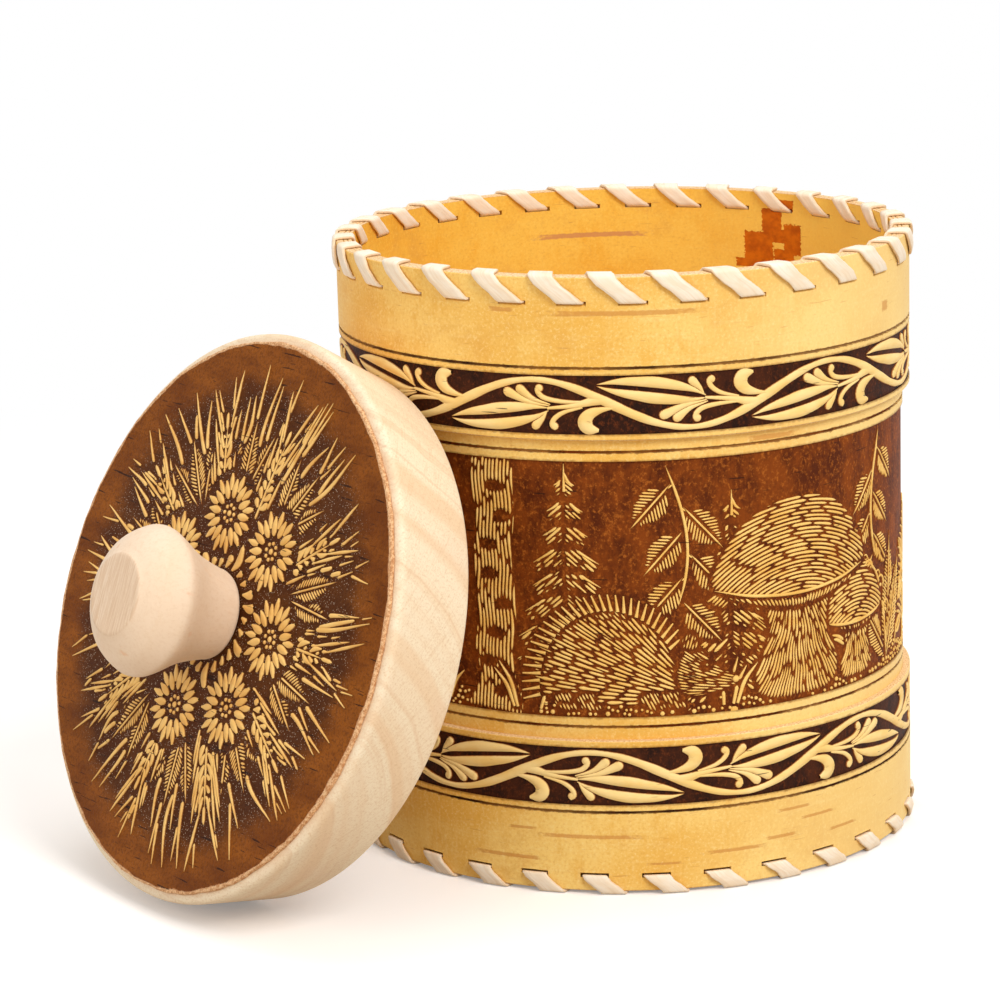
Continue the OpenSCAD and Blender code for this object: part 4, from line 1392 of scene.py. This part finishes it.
# The lamps: name, place, target, power and size
LAMPS = [("key", (0.74, -1.07, 1.15), (0, 0, 0.07), 16.5, 0.7),
         ("fill_left", (-1.1, -0.8, 0.6), (-0.05, 0, 0.06), 4.0, 0.8),
         ("top", (0, 0.25, 1.4), (0, 0, 0.06), 6, 1.0)]


def seen_directly(s):
    """1 for a ray from the camera, off a glossy surface or through glass, and 0 for any other."""
    rays = s.node("LightPath").node.outputs
    either = s.math("MAXIMUM", rays["Is Camera Ray"], rays["Is Glossy Ray"])
    return s.math("MAXIMUM", either, rays["Is Transmission Ray"])


def studio():
    """A pale floor that keeps soft shadows, a white surround and large soft lamps."""
    corners = [(x * FLOOR_HALF, y * FLOOR_HALF, 0) for x, y in ((-1, -1), (1, -1), (1, 1), (-1, 1))]
    floor = build_mesh("floor", corners, [(0, 1, 2, 3)])
    material = bpy.data.materials.new("floor_paper")
    material.use_nodes = True
    s = Graph(material.node_tree)
    s.tree.nodes.clear()
    paper = s.node("BsdfDiffuse", {"Color": (0.95, 0.91, 0.87, 1)})
    glow = s.node("Emission", {"Strength": NEAR_GLOW, "Color": (1, 0.99, 0.98, 1)})
    away = s.node("VectorMath", {0: s.node("TexCoord", out=3)}, out=1, operation="LENGTH")
    seen = s.node("MixShader", {0: s.step(away, WHITE_FROM, WHITE_TO),
                                1: s.node("AddShader", {0: paper, 1: glow}), 2: s.node("Emission")})
    lit = s.node("BsdfDiffuse", {"Color": (0.58, 0.52, 0.45, 1)})
    surface = s.node("MixShader", {0: seen_directly(s), 1: lit, 2: seen})
    s.set(s.tree.nodes.new("ShaderNodeOutputMaterial").inputs[0], surface)
    floor.data.materials.append(material)

    world = bpy.data.worlds.new("studio")
    bpy.context.scene.world = world
    world.use_nodes = True
    s = Graph(world.node_tree)
    back = s.tree.nodes["Background"]
    s.set(back.inputs["Color"], (1, 1, 1, 1))
    s.set(back.inputs["Strength"],
          s.node("MapRange", {"Value": seen_directly(s), "To Min": SURROUND, "To Max": 1.0}))

    for name, place, target, power, size in LAMPS:
        light = bpy.data.lights.new(name, "AREA")
        light.energy, light.size = power, size
        lamp = bpy.data.objects.new(name, light)
        lamp.location = place
        lamp.rotation_euler = (Vector(target) - Vector(place)).to_track_quat("-Z", "Y").to_euler()
        bpy.context.scene.collection.objects.link(lamp)


# The photograph's view, fitted to the two rims: angles in degrees, place in metres, lens in mm
CAMERA_YAW, CAMERA_DOWN, CAMERA_ROLL = -2.02, 13.2, -1.6
CAMERA_PLACE = (0, -0.8, 0.2588)
CAMERA_LENS, CAMERA_SENSOR = 133.02, 36.0


def camera():
    """The photograph's view: level ahead, tipped down, with its small roll."""
    yaw, down, roll = (math.radians(a) for a in (CAMERA_YAW, CAMERA_DOWN, CAMERA_ROLL))
    ahead = Vector((math.sin(yaw) * math.cos(down), math.cos(yaw) * math.cos(down), -math.sin(down)))
    right = Vector((math.cos(yaw), -math.sin(yaw), 0))
    up = right.cross(ahead)
    across = right * math.cos(roll) + up * math.sin(roll)
    upright = -right * math.sin(roll) + up * math.cos(roll)
    data = bpy.data.cameras.new("camera")
    data.lens, data.sensor_width = CAMERA_LENS, CAMERA_SENSOR
    data.clip_start, data.clip_end = 0.05, 20
    view = bpy.data.objects.new("camera", data)
    view.matrix_world = Matrix.Translation(CAMERA_PLACE) @ Matrix(
        (across, upright, -ahead)).transposed().to_4x4()
    bpy.context.scene.collection.objects.link(view)
    bpy.context.scene.camera = view


# ---------------------------------------------------------------- making everything

camera()
studio()
bpy.context.scene.view_settings.view_transform = "Standard"

# Long marks on the plain bark: (angle, height, half angle, half height)
FRIEZE_MARKS = [(-60, 95.9, 5, 0.5)]
UPPER_MARKS = [(-90, 124.0, 13, 0.5), (-113.7, 124.5, 2.2, 0.45), (-28, 118.5, 1.2, 1.1),
               (40, 119, 9, 0.4), (140, 122, 8, 0.4)]
LOWER_MARKS = [(-98, 12.6, 9, 0.4), (-115, 7.3, 6.5, 0.4), (-70, 8.3, 5.5, 0.35), (30, 10, 8, 0.4),
               (-112, 13.8, 2.5, 0.3), (-57, 15.2, 3.5, 0.3), (-51, 12.6, 4, 0.3),
               (-60, 9.6, 3, 0.35), (-84, 6.6, 3, 0.25), (-44, 8.4, 3.5, 0.3), (120, 9, 9, 0.4)]

# CAD nodes that keep their own mesh: node, material and slot
for name, material, slot in (
        ("frieze_sleeve", sheet_material("frieze_sheet", FRIEZE_R, LOWER_LOW, UPPER_HIGH, FRIEZE,
                                         FRIEZE_LINES, FRIEZE_MARKS, FRIEZE_GROUND), "embossed_bark"),
        ("upper_band", sheet_material("upper_sheet", BAND_R, UPPER_LOW, UPPER_HIGH, UPPER_VINE,
                                      [UPPER_LINE], UPPER_MARKS, VINE_GROUND), "outer_bark"),
        ("lower_band", sheet_material("lower_sheet", BAND_R, LOWER_LOW, LOWER_HIGH, LOWER_VINE,
                                      [LOWER_LINE], LOWER_MARKS, VINE_GROUND), "outer_bark"),
        ("inner_sleeve", inner_material(), "inner_bark"),
        ("base_disc", base_wood_material(), "pale_wood"),
        ("knob_screw", steel_material(), "screw_steel")):
    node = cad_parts[name]
    node.data.materials.clear()
    node.data.materials.append(material)

# The last colour of each is the brown of the strokes' sides: partly scorch and partly painted shade.
vine_gold = relief_material("vine_gold", rgb(255, 222, 150), rgb(250, 208, 124), rgb(156, 84, 26))
frieze_gold = relief_material("frieze_gold", rgb(254, 210, 122), rgb(240, 186, 92), rgb(140, 72, 20))
lid_gold = relief_material("lid_gold", rgb(246, 200, 120), rgb(230, 174, 92), rgb(124, 62, 18))

relief, place = vine(sum(UPPER_VINE) / 2, UPPER_CREST, mirror=False, seed=1)
dress(relief.build("upper_vine", place), vine_gold, "box")
relief, place = vine(sum(LOWER_VINE) / 2, LOWER_CREST, mirror=True, seed=2)
dress(relief.build("lower_vine", place), vine_gold, "box")
for number, relief in enumerate(frieze_art()):
    dress(relief.build("frieze_relief_" + "lmr"[number], frieze_place), frieze_gold, "box")

strip = lacing_material()
dress(lacing("upper_strip", UPPER_RIM, 3), strip, "box", ["upper_lacing"])
dress(lacing("lower_strip", LOWER_RIM, 4), strip, "box", ["lower_lacing"])

dress(lid_wood_piece(), lid_wood_material(), "lid", ["lid_disc"])
dress(lid_bark_piece(), lid_ground_material(), "lid", ["lid_bark_disc"])
dress(knob_piece(), knob_material(), "lid", ["lid_knob"])
dress(lid_art().build("lid_relief", lid_place), lid_gold, "lid")
